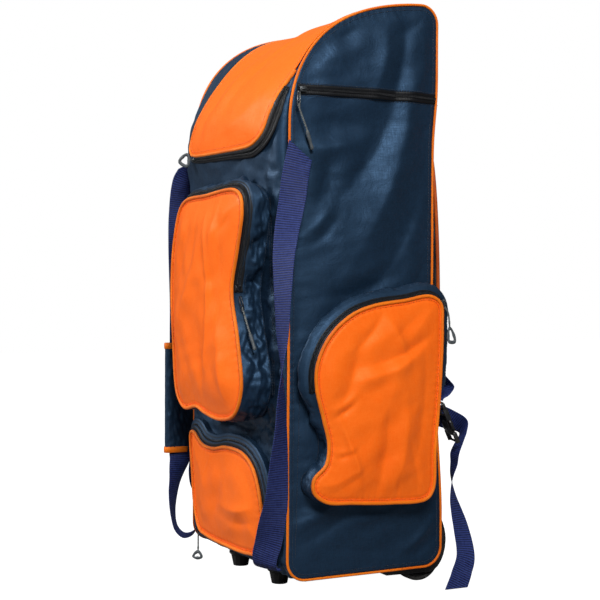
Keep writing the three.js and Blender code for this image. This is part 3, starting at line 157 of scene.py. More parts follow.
def grid_faces(rows, cols, round_rows=False, round_cols=False, flip=False):
    i = np.arange(rows if round_rows else rows - 1)[:, None]
    j = np.arange(cols if round_cols else cols - 1)[None, :]
    n, m = (i + 1) % rows, (j + 1) % cols
    faces = np.stack([i * cols + j, i * cols + m, n * cols + m, n * cols + j], -1).reshape(-1, 4)
    return (faces[:, ::-1] if flip else faces).tolist()


def lay_mesh(name, points, faces, material, uv=None, wall=0.0, smooth=True):
    """A piece from points in millimetres, with its cloth thickness inwards where wall is given."""
    mesh = bpy.data.meshes.new(name)
    mesh.from_pydata(in_metres(np.reshape(points, (-1, 3))).tolist(), [], faces)
    if uv is not None:
        at = np.empty(len(mesh.loops), np.int32)
        mesh.loops.foreach_get("vertex_index", at)
        layer = mesh.uv_layers.new(name="UVMap")
        layer.data.foreach_set("uv", (np.reshape(uv, (-1, 2))[at] / 1000).astype(np.float32).ravel())
    mesh.polygons.foreach_set("use_smooth", [smooth] * len(mesh.polygons))
    mesh.materials.append(material)
    piece = bpy.data.objects.new(name, mesh)
    bpy.context.scene.collection.objects.link(piece)
    if wall:
        thickness = piece.modifiers.new("cloth thickness", "SOLIDIFY")
        thickness.thickness, thickness.offset = wall, -1
    return piece


def shade_tree(name, inputs, outputs):
    """An empty group of shader nodes with named sockets."""
    tree = bpy.data.node_groups.new(name, "ShaderNodeTree")
    for label, kind, value in inputs:
        socket = tree.interface.new_socket(label, in_out="INPUT", socket_type=kind)
        if value is not None:
            socket.default_value = value
    for label in outputs:
        tree.interface.new_socket(label, in_out="OUTPUT", socket_type="NodeSocketFloat")
    return tree, tree.nodes.new("NodeGroupInput").outputs, tree.nodes.new("NodeGroupOutput").inputs


def plug(tree, socket, value):
    if isinstance(value, bpy.types.NodeSocket):
        tree.links.new(value, socket)
    elif value is not None:
        socket.default_value = value


def sum_of(tree, operation, *values):
    node = tree.nodes.new("ShaderNodeMath")
    node.operation = operation
    for socket, value in zip(node.inputs, values):
        plug(tree, socket, value)
    return node.outputs[0]


def placed(tree, vector, scale, turn=0.0):
    node = tree.nodes.new("ShaderNodeMapping")
    plug(tree, node.inputs["Vector"], vector)
    node.inputs["Scale"].default_value = scale
    node.inputs["Rotation"].default_value[2] = turn
    return node.outputs[0]


def noise(tree, vector, scale, detail=2.0, rough=0.5, warp=0.0):
    node = tree.nodes.new("ShaderNodeTexNoise")
    plug(tree, node.inputs["Vector"], vector)
    for label, value in (("Scale", scale), ("Detail", detail), ("Roughness", rough), ("Distortion", warp)):
        plug(tree, node.inputs[label], value)
    return node.outputs["Fac"]


def ramp(tree, value, low, high, to_low=0.0, to_high=1.0):
    node = tree.nodes.new("ShaderNodeMapRange")
    for label, given in (("Value", value), ("From Min", low), ("From Max", high),
                         ("To Min", to_low), ("To Max", to_high)):
        plug(tree, node.inputs[label], given)
    return node.outputs[0]


VECTOR, FLOAT = "NodeSocketVector", "NodeSocketFloat"
# The weave: threads over and under each other, some thicker than their neighbours.
weave_group, given, put = shade_tree(
    "plain_weave", [("Vector", VECTOR, None), ("Threads", FLOAT, 700.0)], ["Height", "Thread"])
apart = weave_group.nodes.new("ShaderNodeSeparateXYZ")
weave_group.links.new(given["Vector"], apart.inputs[0])
turns = sum_of(weave_group, "MULTIPLY", given["Threads"], math.pi)
warp, weft = (sum_of(weave_group, "SINE", sum_of(weave_group, "MULTIPLY", apart.outputs[k], turns)) for k in (0, 1))
cross = sum_of(weave_group, "MULTIPLY_ADD", sum_of(weave_group, "MULTIPLY", warp, weft), 0.5, 0.5)
slubs = sum_of(weave_group, "ADD",
               noise(weave_group, placed(weave_group, given["Vector"], (70, 620, 1)), 1.0, 1.0),
               noise(weave_group, placed(weave_group, given["Vector"], (620, 70, 1)), 1.0, 1.0))
weave_group.links.new(sum_of(weave_group, "MULTIPLY_ADD", slubs, 0.55, cross), put["Height"])
weave_group.links.new(ramp(weave_group, slubs, 0.75, 1.25), put["Thread"])

# Handling: soft creases too small to model, and cloth that is a little lighter where it has rubbed.
wear_group, given, put = shade_tree("handled_cloth", [("Vector", VECTOR, None), ("Size", FLOAT, 1.0)],
                                    ["Creases", "Rubbed", "Patches"])
scaled = wear_group.nodes.new("ShaderNodeVectorMath")
scaled.operation = "SCALE"
wear_group.links.new(given["Vector"], scaled.inputs[0])
wear_group.links.new(given["Size"], scaled.inputs["Scale"])
wear_group.links.new(noise(wear_group, scaled.outputs[0], 26.0, 3.0, 0.55, 1.2), put["Creases"])
wear_group.links.new(ramp(wear_group, noise(wear_group, scaled.outputs[0], 90.0, 4.0, 0.6), 0.38, 0.72),
                     put["Rubbed"])
wear_group.links.new(ramp(wear_group, noise(wear_group, scaled.outputs[0], 7.0, 2.0, 0.5), 0.3, 0.7),
                     put["Patches"])


def new_finish(name):
    material = bpy.data.materials.new(name)
    material.use_nodes = True
    tree = material.node_tree
    return material, tree, tree.nodes["Principled BSDF"], tree.nodes.new("ShaderNodeTexCoord").outputs


def use_group(tree, group, **values):
    node = tree.nodes.new("ShaderNodeGroup")
    node.node_tree = group
    for label, value in values.items():
        plug(tree, node.inputs[label], value)
    return node.outputs


def tint(tree, factor, low, high):
    node = tree.nodes.new("ShaderNodeMix")
    node.data_type = "RGBA"
    plug(tree, node.inputs["Factor"], factor)
    plug(tree, node.inputs["A"], low)
    plug(tree, node.inputs["B"], high)
    return node.outputs["Result"]


def colour(red, green, blue):
    """A colour as seen on a screen, 0 to 255, turned into light."""
    return tuple(((c / 255 + 0.055) / 1.055) ** 2.4 if c > 10 else c / 255 / 12.92 for c in (red, green, blue)) + (1,)


def raise_by(tree, shader, height):
    node = tree.nodes.new("ShaderNodeBump")
    node.inputs["Distance"].default_value = 1.0
    plug(tree, node.inputs["Height"], height)
    tree.links.new(node.outputs[0], shader.inputs["Normal"])


def cloth_finish(name, dark, middle, light, shine, threads=900.0, rough=(0.42, 0.52), sheen=0.02, crease=0.0011,
                 weave=0.00006, gloss=0.5, speckle=0.2):
    """Coated polyester: two tones of thread, rubbed lighter in places, with a coloured gloss on its folds."""
    material, tree, shader, where = new_finish(name)
    threads_in = use_group(tree, weave_group, Vector=where["UV"], Threads=threads)
    handled = use_group(tree, wear_group, Vector=where["Object"])
    base = tint(tree, handled["Patches"], colour(*dark), colour(*middle))
    worn = tint(tree, sum_of(tree, "MULTIPLY", handled["Rubbed"], 0.1), base, colour(*light))
    grain = ramp(tree, noise(tree, where["Object"], 640.0, 2.0, 0.7), 0.36, 0.66)
    threads_seen = sum_of(tree, "MULTIPLY_ADD", threads_in["Thread"], 0.16, sum_of(tree, "MULTIPLY", grain, speckle))
    plug(tree, shader.inputs["Base Color"], tint(tree, threads_seen, worn, colour(*light)))
    plug(tree, shader.inputs["Roughness"], ramp(tree, threads_in["Thread"], 0.0, 1.0, rough[1], rough[0]))
    shader.inputs["Sheen Weight"].default_value = sheen
    shader.inputs["Sheen Roughness"].default_value = 0.45
    shader.inputs["Sheen Tint"].default_value = shader.inputs["Specular Tint"].default_value = colour(*shine)
    shader.inputs["Specular IOR Level"].default_value = gloss
    raise_by(tree, shader, sum_of(tree, "MULTIPLY_ADD", threads_in["Height"], weave,
                                  sum_of(tree, "MULTIPLY", handled["Creases"], crease)))
    return material


navy_cloth = cloth_finish("navy polyester", (3, 10, 18), (5, 15, 27), (29, 54, 80), (150, 200, 255), rough=(0.5, 0.6),
                          gloss=0.8, speckle=0.28)
side_folds = [
    (40, 655, 22, 150, 27, 10), (11, 704, 32, 100, 24, -10), (-55, 742, 88, 80, 24, -9), (-72, 705, 86, 50, 13, 5.5),
    (-75, 650, 18, 42, 20, -8), (-92, 584, 47, 34, 9, 4.5), (-79, 570, 47, 34, 9, -4), (66, 560, 29, 100, 25, -8),
    (96, 600, 24, 120, 22, 4), (-20, 478, 74, 60, 17, -6), (104, 510, 40, 40, 14, -4), (-30, 505, 74, 60, 15, 3),
    (25, 842, 14, 62, 19, 6), (62, 846, 12, 66, 15, -6), (106, 860, 12, 70, 13, 4), (-42, 884, 60, 36, 15, -7),
    (-70, 850, 40, 40, 14, 4), (-118, 836, 10, 16, 9, -3), (80, 905, 60, 40, 12, -4),
    (0, 62, 90, 150, 46, -8), (-104, 122, 72, 40, 9, 5), (-70, 104, 60, 50, 12, -4), (20, 118, 80, 60, 11, 4),
    (106, 80, 50, 42, 8, 5), (122, 66, 50, 34, 7, -4), (-126, 420, 4, 120, 8, -3), (60, 132, 75, 50, 10, -3),
]


def side_out(y, z, fine=True):
    """How far a side stands out from its seam, at depth y and height z."""
    reach, place = edge_reach(y, z, profile[::10])
    swell = side_swell * (1 - 0.35 * (y / 139) ** 2) + fold_height(y, z, side_folds) + 1.5
    out = np.maximum(swell, 0.3) * (1 - np.exp(-((reach / 34) ** 2)))
    if fine:
        out = out + crumple(y, z, 3, size=0.7) * np.minimum(reach / 25, 1) + pucker(reach, place)
    return out


panel_edge = profile - edge_ways(profile, True) * 2.0
low_front, top_front, top_back, low_back = (-129.6, 36.9), (-72, 893), (122.2, 935.7), (135.6, 36.9)
side_grid = patch(
    between(panel_edge, low_front, top_front, 210), between(panel_edge, top_back, low_back, 210)[::-1],
    between(panel_edge, low_back, low_front, 68)[::-1], between(panel_edge, top_front, top_back, 68))
side_y, side_z = side_grid[..., 0], side_grid[..., 1]
for label, side in (("right", 1), ("left", -1)):
    standing = side_out(side_y, side_z)
    panel = lay_mesh(f"side_cloth_{label}", np.stack([side * (panel_aside + standing), side_y, side_z], -1),
                     grid_faces(*side_y.shape, flip=side < 0), navy_cloth, side_grid, cloth_wall)
    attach(panel, "bag")
    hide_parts(f"side_panel_{label}")

# Front panel: one long navy sheet that runs up the front, over the sloping crown and down to the back edge.
# Stuffed hard above the tall pocket, sagging between the seams on top, and wrinkled between the pockets.
front_swell = 40.0
front_run = float(np.linalg.norm(np.diff(front_line, axis=0), axis=1).sum())
front_reach = 181.7
fullness = np.array([
    (0, 0, 0.35), (0.05, 0.05, 0.35), (0.1, 0.12, 0.35), (0.26, 0.22, 0.35), (0.44, 0.4, 0.35), (0.5, 0.52, 0.35),
    (0.576, 0.8, 0.35), (0.615, 1.04, 0.33), (0.655, 0.96, 0.4), (0.7, 0.5, 0.5), (0.735, 0.2, 0.8),
    (0.775, -0.02, 1), (0.82, -0.12, 1), (0.86, -0.24, 0.6), (0.92, -0.26, 0.6), (0.97, -0.14, 0.6), (1, 0, 0.6)])
front_sags = [(0, 0.215, 166, 0.032, -5), (74, 0.25, 92, 0.03, 3), (111, 0.6, 55, 0.03, -4), (-74, 0.61, 92, 0.03, 4)]
front_folds = [
    (150, 330, 25, 60, 9, -5), (160, 300, 60, 34, 7, 5), (132, 268, -60, 40, 8, -6), (118, 250, 62, 46, 8, 5),
    (165, 420, 15, 70, 9, 4), (152, 560, -10, 60, 9, -5), (165, 600, 30, 46, 8, 4), (158, 690, 20, 60, 10, -5),
    (120, 720, 35, 60, 9, 4), (90, 690, 60, 70, 12, -4), (40, 712, 80, 80, 12, 3), (-40, 250, 85, 70, 9, -5),
    (40, 262, 80, 60, 8, 5), (90, 236, 50, 36, 7, -5), (-110, 690, 70, 60, 10, 4), (60, 246, 88, 90, 7, -4),
    (166, 760, 0, 60, 8, 3), (150, 200, 20, 60, 9, 4), (160, 130, -15, 50, 8, -4),
]


def read_table(table, column, at):
    """A table's column at a share, with the corners between its rows rounded off."""
    return sum(np.interp(np.clip(at + d, 0, 1), table[:, 0], table[:, column]) for d in np.linspace(-0.02, 0.02, 9)) / 9


def front_out(x, run):
    """How far the front and crown stand out from the profile, across at x and along at run."""
    up = np.clip(run / front_run, 0, 1)
    across = 1 - np.minimum(np.abs(x / front_reach), 1) ** 2
    out = front_swell * read_table(fullness, 1, up)
    for fx, fup, wide, high, deep in front_sags:
        out = out + deep * np.exp(-(((x - fx) / wide) ** 2)) * np.exp(-(((up - fup) / high) ** 2))
    return out * across ** read_table(fullness, 2, up)


front_at = np.linspace(0, front_run, len(front_line))
front_ways = edge_ways(front_line, False)


def front_point(x, run, out):
    """A point over the front: across at x, along the profile at run, out from its surface."""
    x, run = np.broadcast_arrays(np.asarray(x, float), np.asarray(run, float))
    stand = front_out(x, run) + out
    y, z, wy, wz = (np.interp(run, front_at, line) for line in (*front_line.T, *front_ways.T))
    return np.stack([x, y + wy * stand, z + wz * stand], -1)


def run_at(height):
    return height - 27.5 - 32 + 16 * math.pi


def round_curve(points, count, closed):
    """A smooth line through points, spaced by the root of their distances."""
    points = np.asarray(points, float)
    n, line = len(points), []
    for k in range(n if closed else n - 1):
        p1, p2 = points[k], points[(k + 1) % n]
        p0 = points[k - 1] if closed or k else 2 * p1 - p2
        p3 = points[(k + 2) % n] if closed or k + 2 < n else 2 * p2 - p1
        d0, d1, d2 = (max(math.sqrt(np.linalg.norm(q - p)), 1e-3) for p, q in ((p0, p1), (p1, p2), (p2, p3)))
        m1 = ((p1 - p0) / d0 - (p2 - p0) / (d0 + d1) + (p2 - p1) / d1) * d1
        m2 = ((p2 - p1) / d1 - (p3 - p1) / (d1 + d2) + (p3 - p2) / d2) * d1
        t = np.linspace(0, 1, 40, endpoint=False)[:, None]
        line.append(p1 + m1 * t + (-3 * p1 + 3 * p2 - 2 * m1 - m2) * t**2 + (2 * p1 - 2 * p2 + m1 + m2) * t**3)
    if not closed:
        line.append(points[-1:])
    line = np.vstack(line)
    return even(line, count, closed) if count else line


# The lid's edge, as half widths inside the side seams at shares of its run, with its hinge at the top.
lid_low, lid_high = run_at(707.5), front_run * 0.945
lid_edge = [
    (0, 0.541, 0.53), (0.011, 0.362, 0.4), (0.04, 0.243, 0.335), (0.07, 0.189, 0.335), (0.13, 0.151, 0.378),
    (0.21, 0.108, 0.443), (0.3, 0.043, 0.476), (0.35, 0.022, 0.476), (0.6, 0.022, 0.411), (1, 0.022, 0.227)]
lid_left = [(-panel_aside * (1 - left), lid_low + (lid_high - lid_low) * up) for up, _, left in lid_edge]
lid_right = [(panel_aside * (1 - right), lid_low + (lid_high - lid_low) * up) for up, right, _ in lid_edge]
lid_line = round_curve(lid_left[::-1] + lid_right, 500, False)
lid_loop = np.vstack([lid_line, even([lid_line[-1], lid_line[0]], 80)[1:-1]])


def inside(a, b, loop):
    """Which points lie inside a closed line."""
    a, b, hit = np.ravel(a), np.ravel(b), np.zeros(np.size(a), bool)
    for p, q in zip(loop, np.roll(loop, -1, 0)):
        crosses = (p[1] > b) != (q[1] > b)
        hit ^= crosses & (a < (q[0] - p[0]) * (b - p[1]) / (q[1] - p[1] + 1e-12) + p[0])
    return hit


across = np.sin(np.linspace(-0.5, 0.5, 64) * math.pi) * front_reach
front_x, front_r = np.meshgrid(across, np.linspace(0.5, front_run - 0.5, 300))
lid_reach, _ = edge_reach(front_x, front_r, lid_loop)
under_lid = inside(front_x, front_r, lid_loop).reshape(front_x.shape) * np.clip((lid_reach - 2) / 6, 0, 1)
front_edge = np.minimum(front_reach + 1 - np.abs(front_x), np.minimum(front_r, front_run - front_r))
front_fine = (fold_height(front_x, front_r, front_folds) + crumple(front_x, front_r, 5, size=0.9)) * np.clip(
    front_edge / 22, 0, 1) + pucker(front_edge, front_r + 0.4 * front_x, 14, 1.0)
slack = 1.5 * np.exp(-(((front_x - 152) / 34) ** 2)) * np.clip((run_at(700) - front_r) / 60, 0, 1) + 1.2 * np.exp(
    -(((front_r - run_at(254)) / 24) ** 2))
front_fine += slack * (crumple(front_x * 1.3, front_r, 7, (16, 46), 1.3) + crumple(front_x, front_r, 9, (9, 20), 0.35)) * np.clip(
    front_edge / 16, 0, 1)
front_grid = front_point(front_x, front_r, front_fine * (1 - under_lid) - 6 * under_lid + 0.6)
front = lay_mesh("front_cloth", front_grid, grid_faces(*front_x.shape), navy_cloth,
                 np.stack([front_x, front_r], -1), cloth_wall)
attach(front, "bag")
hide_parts("front_panel")

# Lid: a flap of bright orange polyester that closes the mouth over the crown. It is hinged on the flat top,
# lies over the front and is held by a zip on its other sides.
orange_cloth = cloth_finish("orange polyester", (244, 96, 10), (248, 104, 18), (254, 130, 48), (255, 190, 130),
                            crease=0.0009, gloss=0.35)
lid_inner = lid_line + edge_ways(lid_line, False) * 1.2
lid_inner[0, 1] = lid_inner[-1, 1] = lid_high
lid_inner[:, 0] = np.clip(lid_inner[:, 0], -panel_aside + 4, panel_aside - 3.2)
corner_low_left, corner_low_right = (-118, lid_low + 8), (104, lid_low + 6)
i, j = (int(np.argmin(np.linalg.norm(lid_inner - p, axis=1))) for p in (corner_low_left, corner_low_right))
lid_grid = patch(even(lid_inner[: i + 1], 110)[::-1], even(lid_inner[j:], 110), even(lid_inner[i: j + 1], 80),
                 even([lid_inner[0], lid_inner[-1]], 80))
lid_x, lid_r = lid_grid[..., 0], lid_grid[..., 1]
lid_folds = [
    (-20, lid_low + 90, 20, 90, 26, 3), (40, lid_low + 120, 30, 100, 22, -3), (-60, lid_low + 60, 35, 60, 18, -3),
    (70, lid_low + 210, 25, 90, 18, 3), (0, lid_low + 240, 10, 110, 26, -3), (60, lid_low + 40, 70, 60, 16, 2)]
lid_reach, lid_place = edge_reach(lid_x, lid_r, lid_loop)
lid_fine = (fold_height(lid_x, lid_r, lid_folds) + crumple(lid_x, lid_r, 8, (40, 110), 0.5)) * np.clip(
    lid_reach / 30, 0, 1) + pucker(lid_reach, lid_place, 15, 0.5, 10)
lid = lay_mesh("lid_cloth", front_point(lid_x, lid_r, lid_fine + 2.8), grid_faces(*lid_x.shape), orange_cloth,
               lid_grid, cloth_wall)
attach(lid, "bag")
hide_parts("lid")

# Corded seams: a bias strip of amber cloth folded round a 5 mm cord and caught between two panels. One runs
# round each side of the bag, and one edges the lid.
cord_radius = 2.1


def corded_tree():
    """A round cord along a row of points, as wide as asked."""
    tree = bpy.data.node_groups.new("corded seam", "GeometryNodeTree")
    tree.interface.new_socket("Row", in_out="INPUT", socket_type="NodeSocketGeometry")
    for label, kind, value in (("Radius", "NodeSocketFloat", 0.003), ("Step", "NodeSocketFloat", 0.005),
                               ("Sides", "NodeSocketInt", 12), ("Cloth", "NodeSocketMaterial", None)):
        socket = tree.interface.new_socket(label, in_out="INPUT", socket_type=kind)
        if value is not None:
            socket.default_value = value
    tree.interface.new_socket("Seam", in_out="OUTPUT", socket_type="NodeSocketGeometry")
    add, link = tree.nodes.new, tree.links.new
    given, put = add("NodeGroupInput").outputs, add("NodeGroupOutput").inputs
    curve, steps, ring, tube = (add("GeometryNode" + n) for n in
                                ("MeshToCurve", "ResampleCurve", "CurvePrimitiveCircle", "CurveToMesh"))
    real, smooth, cloth = (add("GeometryNode" + n) for n in ("RealizeInstances", "SetShadeSmooth", "SetMaterial"))
    steps.mode = "LENGTH"
    link(given["Row"], curve.inputs[0])
    link(curve.outputs[0], steps.inputs["Curve"])
    link(given["Step"], steps.inputs["Length"])
    link(given["Radius"], ring.inputs["Radius"])
    link(given["Sides"], ring.inputs["Resolution"])
    link(steps.outputs[0], tube.inputs["Curve"])
    link(ring.outputs[0], tube.inputs["Profile Curve"])
    tube.inputs["Fill Caps"].default_value = True
    for a, b in zip((tube, real, smooth), (real, smooth, cloth)):
        link(a.outputs[0], b.inputs["Geometry"])
    link(given["Cloth"], cloth.inputs["Material"])
    link(cloth.outputs[0], put[0])
    return tree


def grow(name, rows, tree, outs=None, closed=False, body="bag", **sizes):
    """Runs a tree of geometry nodes along rows of points and keeps the result as a plain mesh."""
    points, edges, start = [], [], 0
    for row in rows:
        points.extend(in_metres(row).tolist())
        edges += [(start + k, start + k + 1) for k in range(len(row) - 1)]
        edges += [(start + len(row) - 1, start)] if closed else []
        start += len(row)
    mesh = bpy.data.meshes.new(name + "_row")
    mesh.from_pydata(points, edges, [])
    if outs is not None:
        mesh.attributes.new("face_out", "FLOAT_VECTOR", "POINT").data.foreach_set(
            "vector", np.vstack(outs).astype(np.float32).ravel())
    row = bpy.data.objects.new(name + "_row", mesh)
    bpy.context.scene.collection.objects.link(row)
    nodes = row.modifiers.new("nodes", "NODES")
    nodes.node_group = tree
    for item in tree.interface.items_tree:
        if item.item_type == "SOCKET" and item.in_out == "INPUT" and item.name in sizes:
            nodes[item.identifier] = sizes[item.name]
    scene_now = bpy.context.evaluated_depsgraph_get()
    made = bpy.data.meshes.new_from_object(row.evaluated_get(scene_now), depsgraph=scene_now)
    row.modifiers.clear()
    bpy.data.objects.remove(row)
    made.name = name
    piece = bpy.data.objects.new(name, made)
    bpy.context.scene.collection.objects.link(piece)
    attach(piece, body)
    return piece


def bias_finish(name, dark, light):
    """Woven bias tape pulled tight round a cord: fine slanting threads and a slightly soiled tone."""
    material, tree, shader, where = new_finish(name)
    lines = tree.nodes.new("ShaderNodeTexWave")
    plug(tree, lines.inputs["Vector"], placed(tree, where["Object"], (1, 1, 1), 0.6))
    for label, value in (("Scale", 260.0), ("Distortion", 2.0), ("Detail", 1.0)):
        lines.inputs[label].default_value = value
    handled = use_group(tree, wear_group, Vector=where["Object"], Size=2.2)
    base = tint(tree, handled["Patches"], colour(*dark), colour(*light))
    plug(tree, shader.inputs["Base Color"],
         tint(tree, sum_of(tree, "MULTIPLY", handled["Rubbed"], 0.4), base, colour(*dark)))
    plug(tree, shader.inputs["Roughness"], ramp(tree, handled["Creases"], 0.2, 0.8, 0.45, 0.7))
    shader.inputs["Sheen Weight"].default_value = 0.05
    shader.inputs["Specular IOR Level"].default_value = 0.25
    raise_by(tree, shader, sum_of(tree, "MULTIPLY_ADD", lines.outputs["Fac"], 0.00012,
                                  sum_of(tree, "MULTIPLY", handled["Creases"], 0.0007)))
    return material


amber_tape = bias_finish("amber bias tape", (214, 98, 0), (238, 122, 6))
corded = corded_tree()
break_at = int(np.argmin(np.linalg.norm(profile - (70, 27.5), axis=1)))
seam_line = np.roll(profile, -break_at, 0)
seam_wave = 0.5 * np.sin(np.linspace(0, 61, len(seam_line)))
for label, side in (("right", 1), ("left", -1)):
    seam = grow(f"side_seam_{label}", [np.c_[side * (panel_aside + seam_wave), seam_line]], corded,
                Radius=cord_radius / 1000, Cloth=amber_tape)
    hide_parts(f"side_piping_{label}")
lid_end = int(np.argmax(lid_line[:, 0] > panel_aside - 6.0))
lid_seam = grow("lid_seam", [front_point(*lid_line[:lid_end].T, 1.6)], corded, Radius=0.0028, Cloth=amber_tape)
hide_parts("lid_piping")

# Zips: black woven tape with a coil of black teeth sewn along its middle. The lid's zip is a wide doubled
# band round its front edge, and a long one crosses each side below the crown.
tape_width, coil_pitch = 16.0, 1.7


def row_tree(name):
    """Puts a small thing at even steps along a row, turned along it and outwards."""
    tree = bpy.data.node_groups.new(name, "GeometryNodeTree")
    tree.interface.new_socket("Row", in_out="INPUT", socket_type="NodeSocketGeometry")
    for label, kind in (("Thing", "NodeSocketObject"), ("Step", "NodeSocketFloat"), ("Size", "NodeSocketVector"),
                        ("Finish", "NodeSocketMaterial"), ("Seed", "NodeSocketInt")):
        tree.interface.new_socket(label, in_out="INPUT", socket_type=kind)
    tree.interface.new_socket("Things", in_out="OUTPUT", socket_type="NodeSocketGeometry")
    add, link = tree.nodes.new, tree.links.new
    given, put = add("NodeGroupInput").outputs, add("NodeGroupOutput").inputs
    curve, steps, tangent, out, thing, place = (add("GeometryNode" + n) for n in (
        "MeshToCurve", "ResampleCurve", "InputTangent", "InputNamedAttribute", "ObjectInfo", "InstanceOnPoints"))
    real, finish = add("GeometryNodeRealizeInstances"), add("GeometryNodeSetMaterial")
    along, outwards = add("FunctionNodeAlignRotationToVector"), add("FunctionNodeAlignRotationToVector")
    wobble, scaled = add("FunctionNodeRandomValue"), add("ShaderNodeVectorMath")
    steps.mode, along.axis = "LENGTH", "X"
    outwards.axis, outwards.pivot_axis = "Z", "X"
    out.data_type = "FLOAT_VECTOR"
    out.inputs["Name"].default_value = "face_out"
    wobble.data_type = "FLOAT"
    wobble.inputs[2].default_value, wobble.inputs[3].default_value = 0.93, 1.07
    scaled.operation = "SCALE"
    link(given["Row"], curve.inputs[0])
    link(curve.outputs[0], steps.inputs["Curve"])
    link(given["Step"], steps.inputs["Length"])
    link(steps.outputs[0], place.inputs["Points"])
    link(given["Thing"], thing.inputs["Object"])
    link(thing.outputs["Geometry"], place.inputs["Instance"])
    link(tangent.outputs[0], along.inputs["Vector"])
    link(along.outputs[0], outwards.inputs["Rotation"])
    link(out.outputs["Attribute"], outwards.inputs["Vector"])
    link(outwards.outputs[0], place.inputs["Rotation"])
    link(given["Size"], scaled.inputs[0])
    link(given["Seed"], wobble.inputs["Seed"])
    link(wobble.outputs[1], scaled.inputs["Scale"])
    link(scaled.outputs[0], place.inputs["Scale"])
    link(place.outputs[0], real.inputs[0])
    link(real.outputs[0], finish.inputs["Geometry"])
    link(given["Finish"], finish.inputs["Material"])
    link(finish.outputs[0], put[0])
    return tree


def small_thing(name, points, faces):
    """A small shape, in millimetres about its own middle, for a row of things. It isn't a piece itself."""
    mesh = bpy.data.meshes.new(name)
    mesh.from_pydata((np.asarray(points, float) / 1000).tolist(), [], faces)
    mesh.polygons.foreach_set("use_smooth", [True] * len(mesh.polygons))
    return bpy.data.objects.new(name, mesh)


def rod(points, radii, sides=10, flat=1.0, wide=None):
    """A round or flattened rod through points, closed by rounded ends."""
    points = np.asarray(points, float)
    radii = np.broadcast_to(np.asarray(radii, float), len(points))
    way = np.gradient(points, axis=0)
    way /= np.linalg.norm(way, axis=1)[:, None]
    points = np.vstack([points[0] - way[0] * radii[0] * 0.35, points, points[-1] + way[-1] * radii[-1] * 0.35])
    way, radii = np.vstack([way[:1], way, way[-1:]]), np.r_[radii[0] * 0.55, radii, radii[-1] * 0.55]
    right = np.array((0.31, 0.95, 0.02) if wide is None else wide, float)
    rings, turn = [], np.linspace(0, 2 * math.pi, sides, endpoint=False)
    for p, d, r in zip(points, way, radii):
        right = right - d * (right @ d)
        right /= np.linalg.norm(right)
        up = np.cross(d, right)
        rings.append(p + r * (np.outer(np.cos(turn), right) + flat * np.outer(np.sin(turn), up)))
    faces = grid_faces(len(rings), sides, round_cols=True)
    last = (len(rings) - 1) * sides
    faces += [list(range(sides))[::-1], list(range(last, last + sides))]
    return np.vstack(rings), faces


def rounded_block(size, round_off, middle=(0, 0, 0), axes=np.eye(3), steps=2):
    """A block with rounded edges, its sides along the rows of axes."""
    made = bmesh.new()
    bmesh.ops.create_cube(made, size=1)
    bmesh.ops.scale(made, vec=Vector(size), verts=made.verts)
    bmesh.ops.bevel(made, geom=made.edges[:], offset=round_off, segments=steps, profile=0.5, affect="EDGES")
    points = np.array([v.co for v in made.verts]) @ np.asarray(axes, float) + middle
    faces = [[v.index for v in f.verts] for f in made.faces]
    made.free()
    return points, faces


def joined(parts):
    points, faces, start = [], [], 0
    for p, f in parts:
        points.append(np.asarray(p, float).reshape(-1, 3))
        faces += [[i + start for i in face] for face in f]
        start += len(points[-1])
    return np.vstack(points), faces


tooth = small_thing("zip tooth", *joined([
    rod([(0, -2.4, 0), (0.3, 0.4, 0.55)], 0.62, 5), rod([(0.85, 2.4, 0), (0.55, -0.4, 0.55)], 0.62, 5)]))
teeth_tree = row_tree("row of zip teeth")


def tape_finish():
    """Black polyester tape and coil: ribbed along its length, faintly grey where it catches the light."""
    material, tree, shader, where = new_finish("black zip tape")
    ribs = use_group(tree, weave_group, Vector=where["Object"], Threads=560.0)
    handled = use_group(tree, wear_group, Vector=where["Object"], Size=1.6)
    plug(tree, shader.inputs["Base Color"], tint(tree, sum_of(tree, "MULTIPLY", handled["Rubbed"], 0.5),
                                                 colour(4, 5, 8), colour(18, 20, 26)))
    plug(tree, shader.inputs["Roughness"], ramp(tree, handled["Patches"], 0.0, 1.0, 0.42, 0.6))
    shader.inputs["Specular IOR Level"].default_value = 0.3
    raise_by(tree, shader, sum_of(tree, "MULTIPLY", ribs["Height"], 0.00018))
    return material


black_tape = tape_finish()
zip_count = 0


def make_zip(name, middle, out, width, node, coils=(0.0,), folded=0.8):
    """A zip along a row of middles: tape with raised edges, and one or more rows of teeth."""
    global zip_count
    zip_count += 1
    middle, out = np.asarray(middle, float), np.asarray(out, float)
    out = out / np.linalg.norm(out, axis=1)[:, None]
    way = np.gradient(middle, axis=0)
    wide = np.cross(out, way / np.linalg.norm(way, axis=1)[:, None])
    wide /= np.linalg.norm(wide, axis=1)[:, None]
    half = np.broadcast_to(np.asarray(width, float), len(middle))[:, None] / 2
    section = [(-1, -0.3), (-0.97, folded), (-0.62, folded + 0.35), (-0.46, folded), (-0.2, 0.15), (0.2, 0.15),
               (0.46, folded), (0.62, folded + 0.35), (0.97, folded), (1, -0.3)]
    tape = np.stack([middle + wide * half * w + out * h for w, h in section], 1)
    zipped = lay_mesh(name + "_tape", tape, grid_faces(*tape.shape[:2], flip=True), black_tape, wall=0.0005)
    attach(zipped, "bag")
    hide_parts(node)
    teeth = grow(name + "_teeth", [middle + wide * half * 2 * c + out * 0.5 for c in coils], teeth_tree,
                 [out] * len(coils), Thing=tooth, Step=coil_pitch / 1000, Size=(1, 1, 1), Finish=black_tape,
                 Seed=zip_count)
    return zipped


def surface_ways(place, a, b, step=1.0):
    """Outward directions of a surface that is given by a function of two measures."""
    da, db = place(a + step, b) - place(a - step, b), place(a, b + step) - place(a, b - step)
    ways = np.cross(da, db)
    return ways / np.linalg.norm(ways, axis=-1)[..., None]


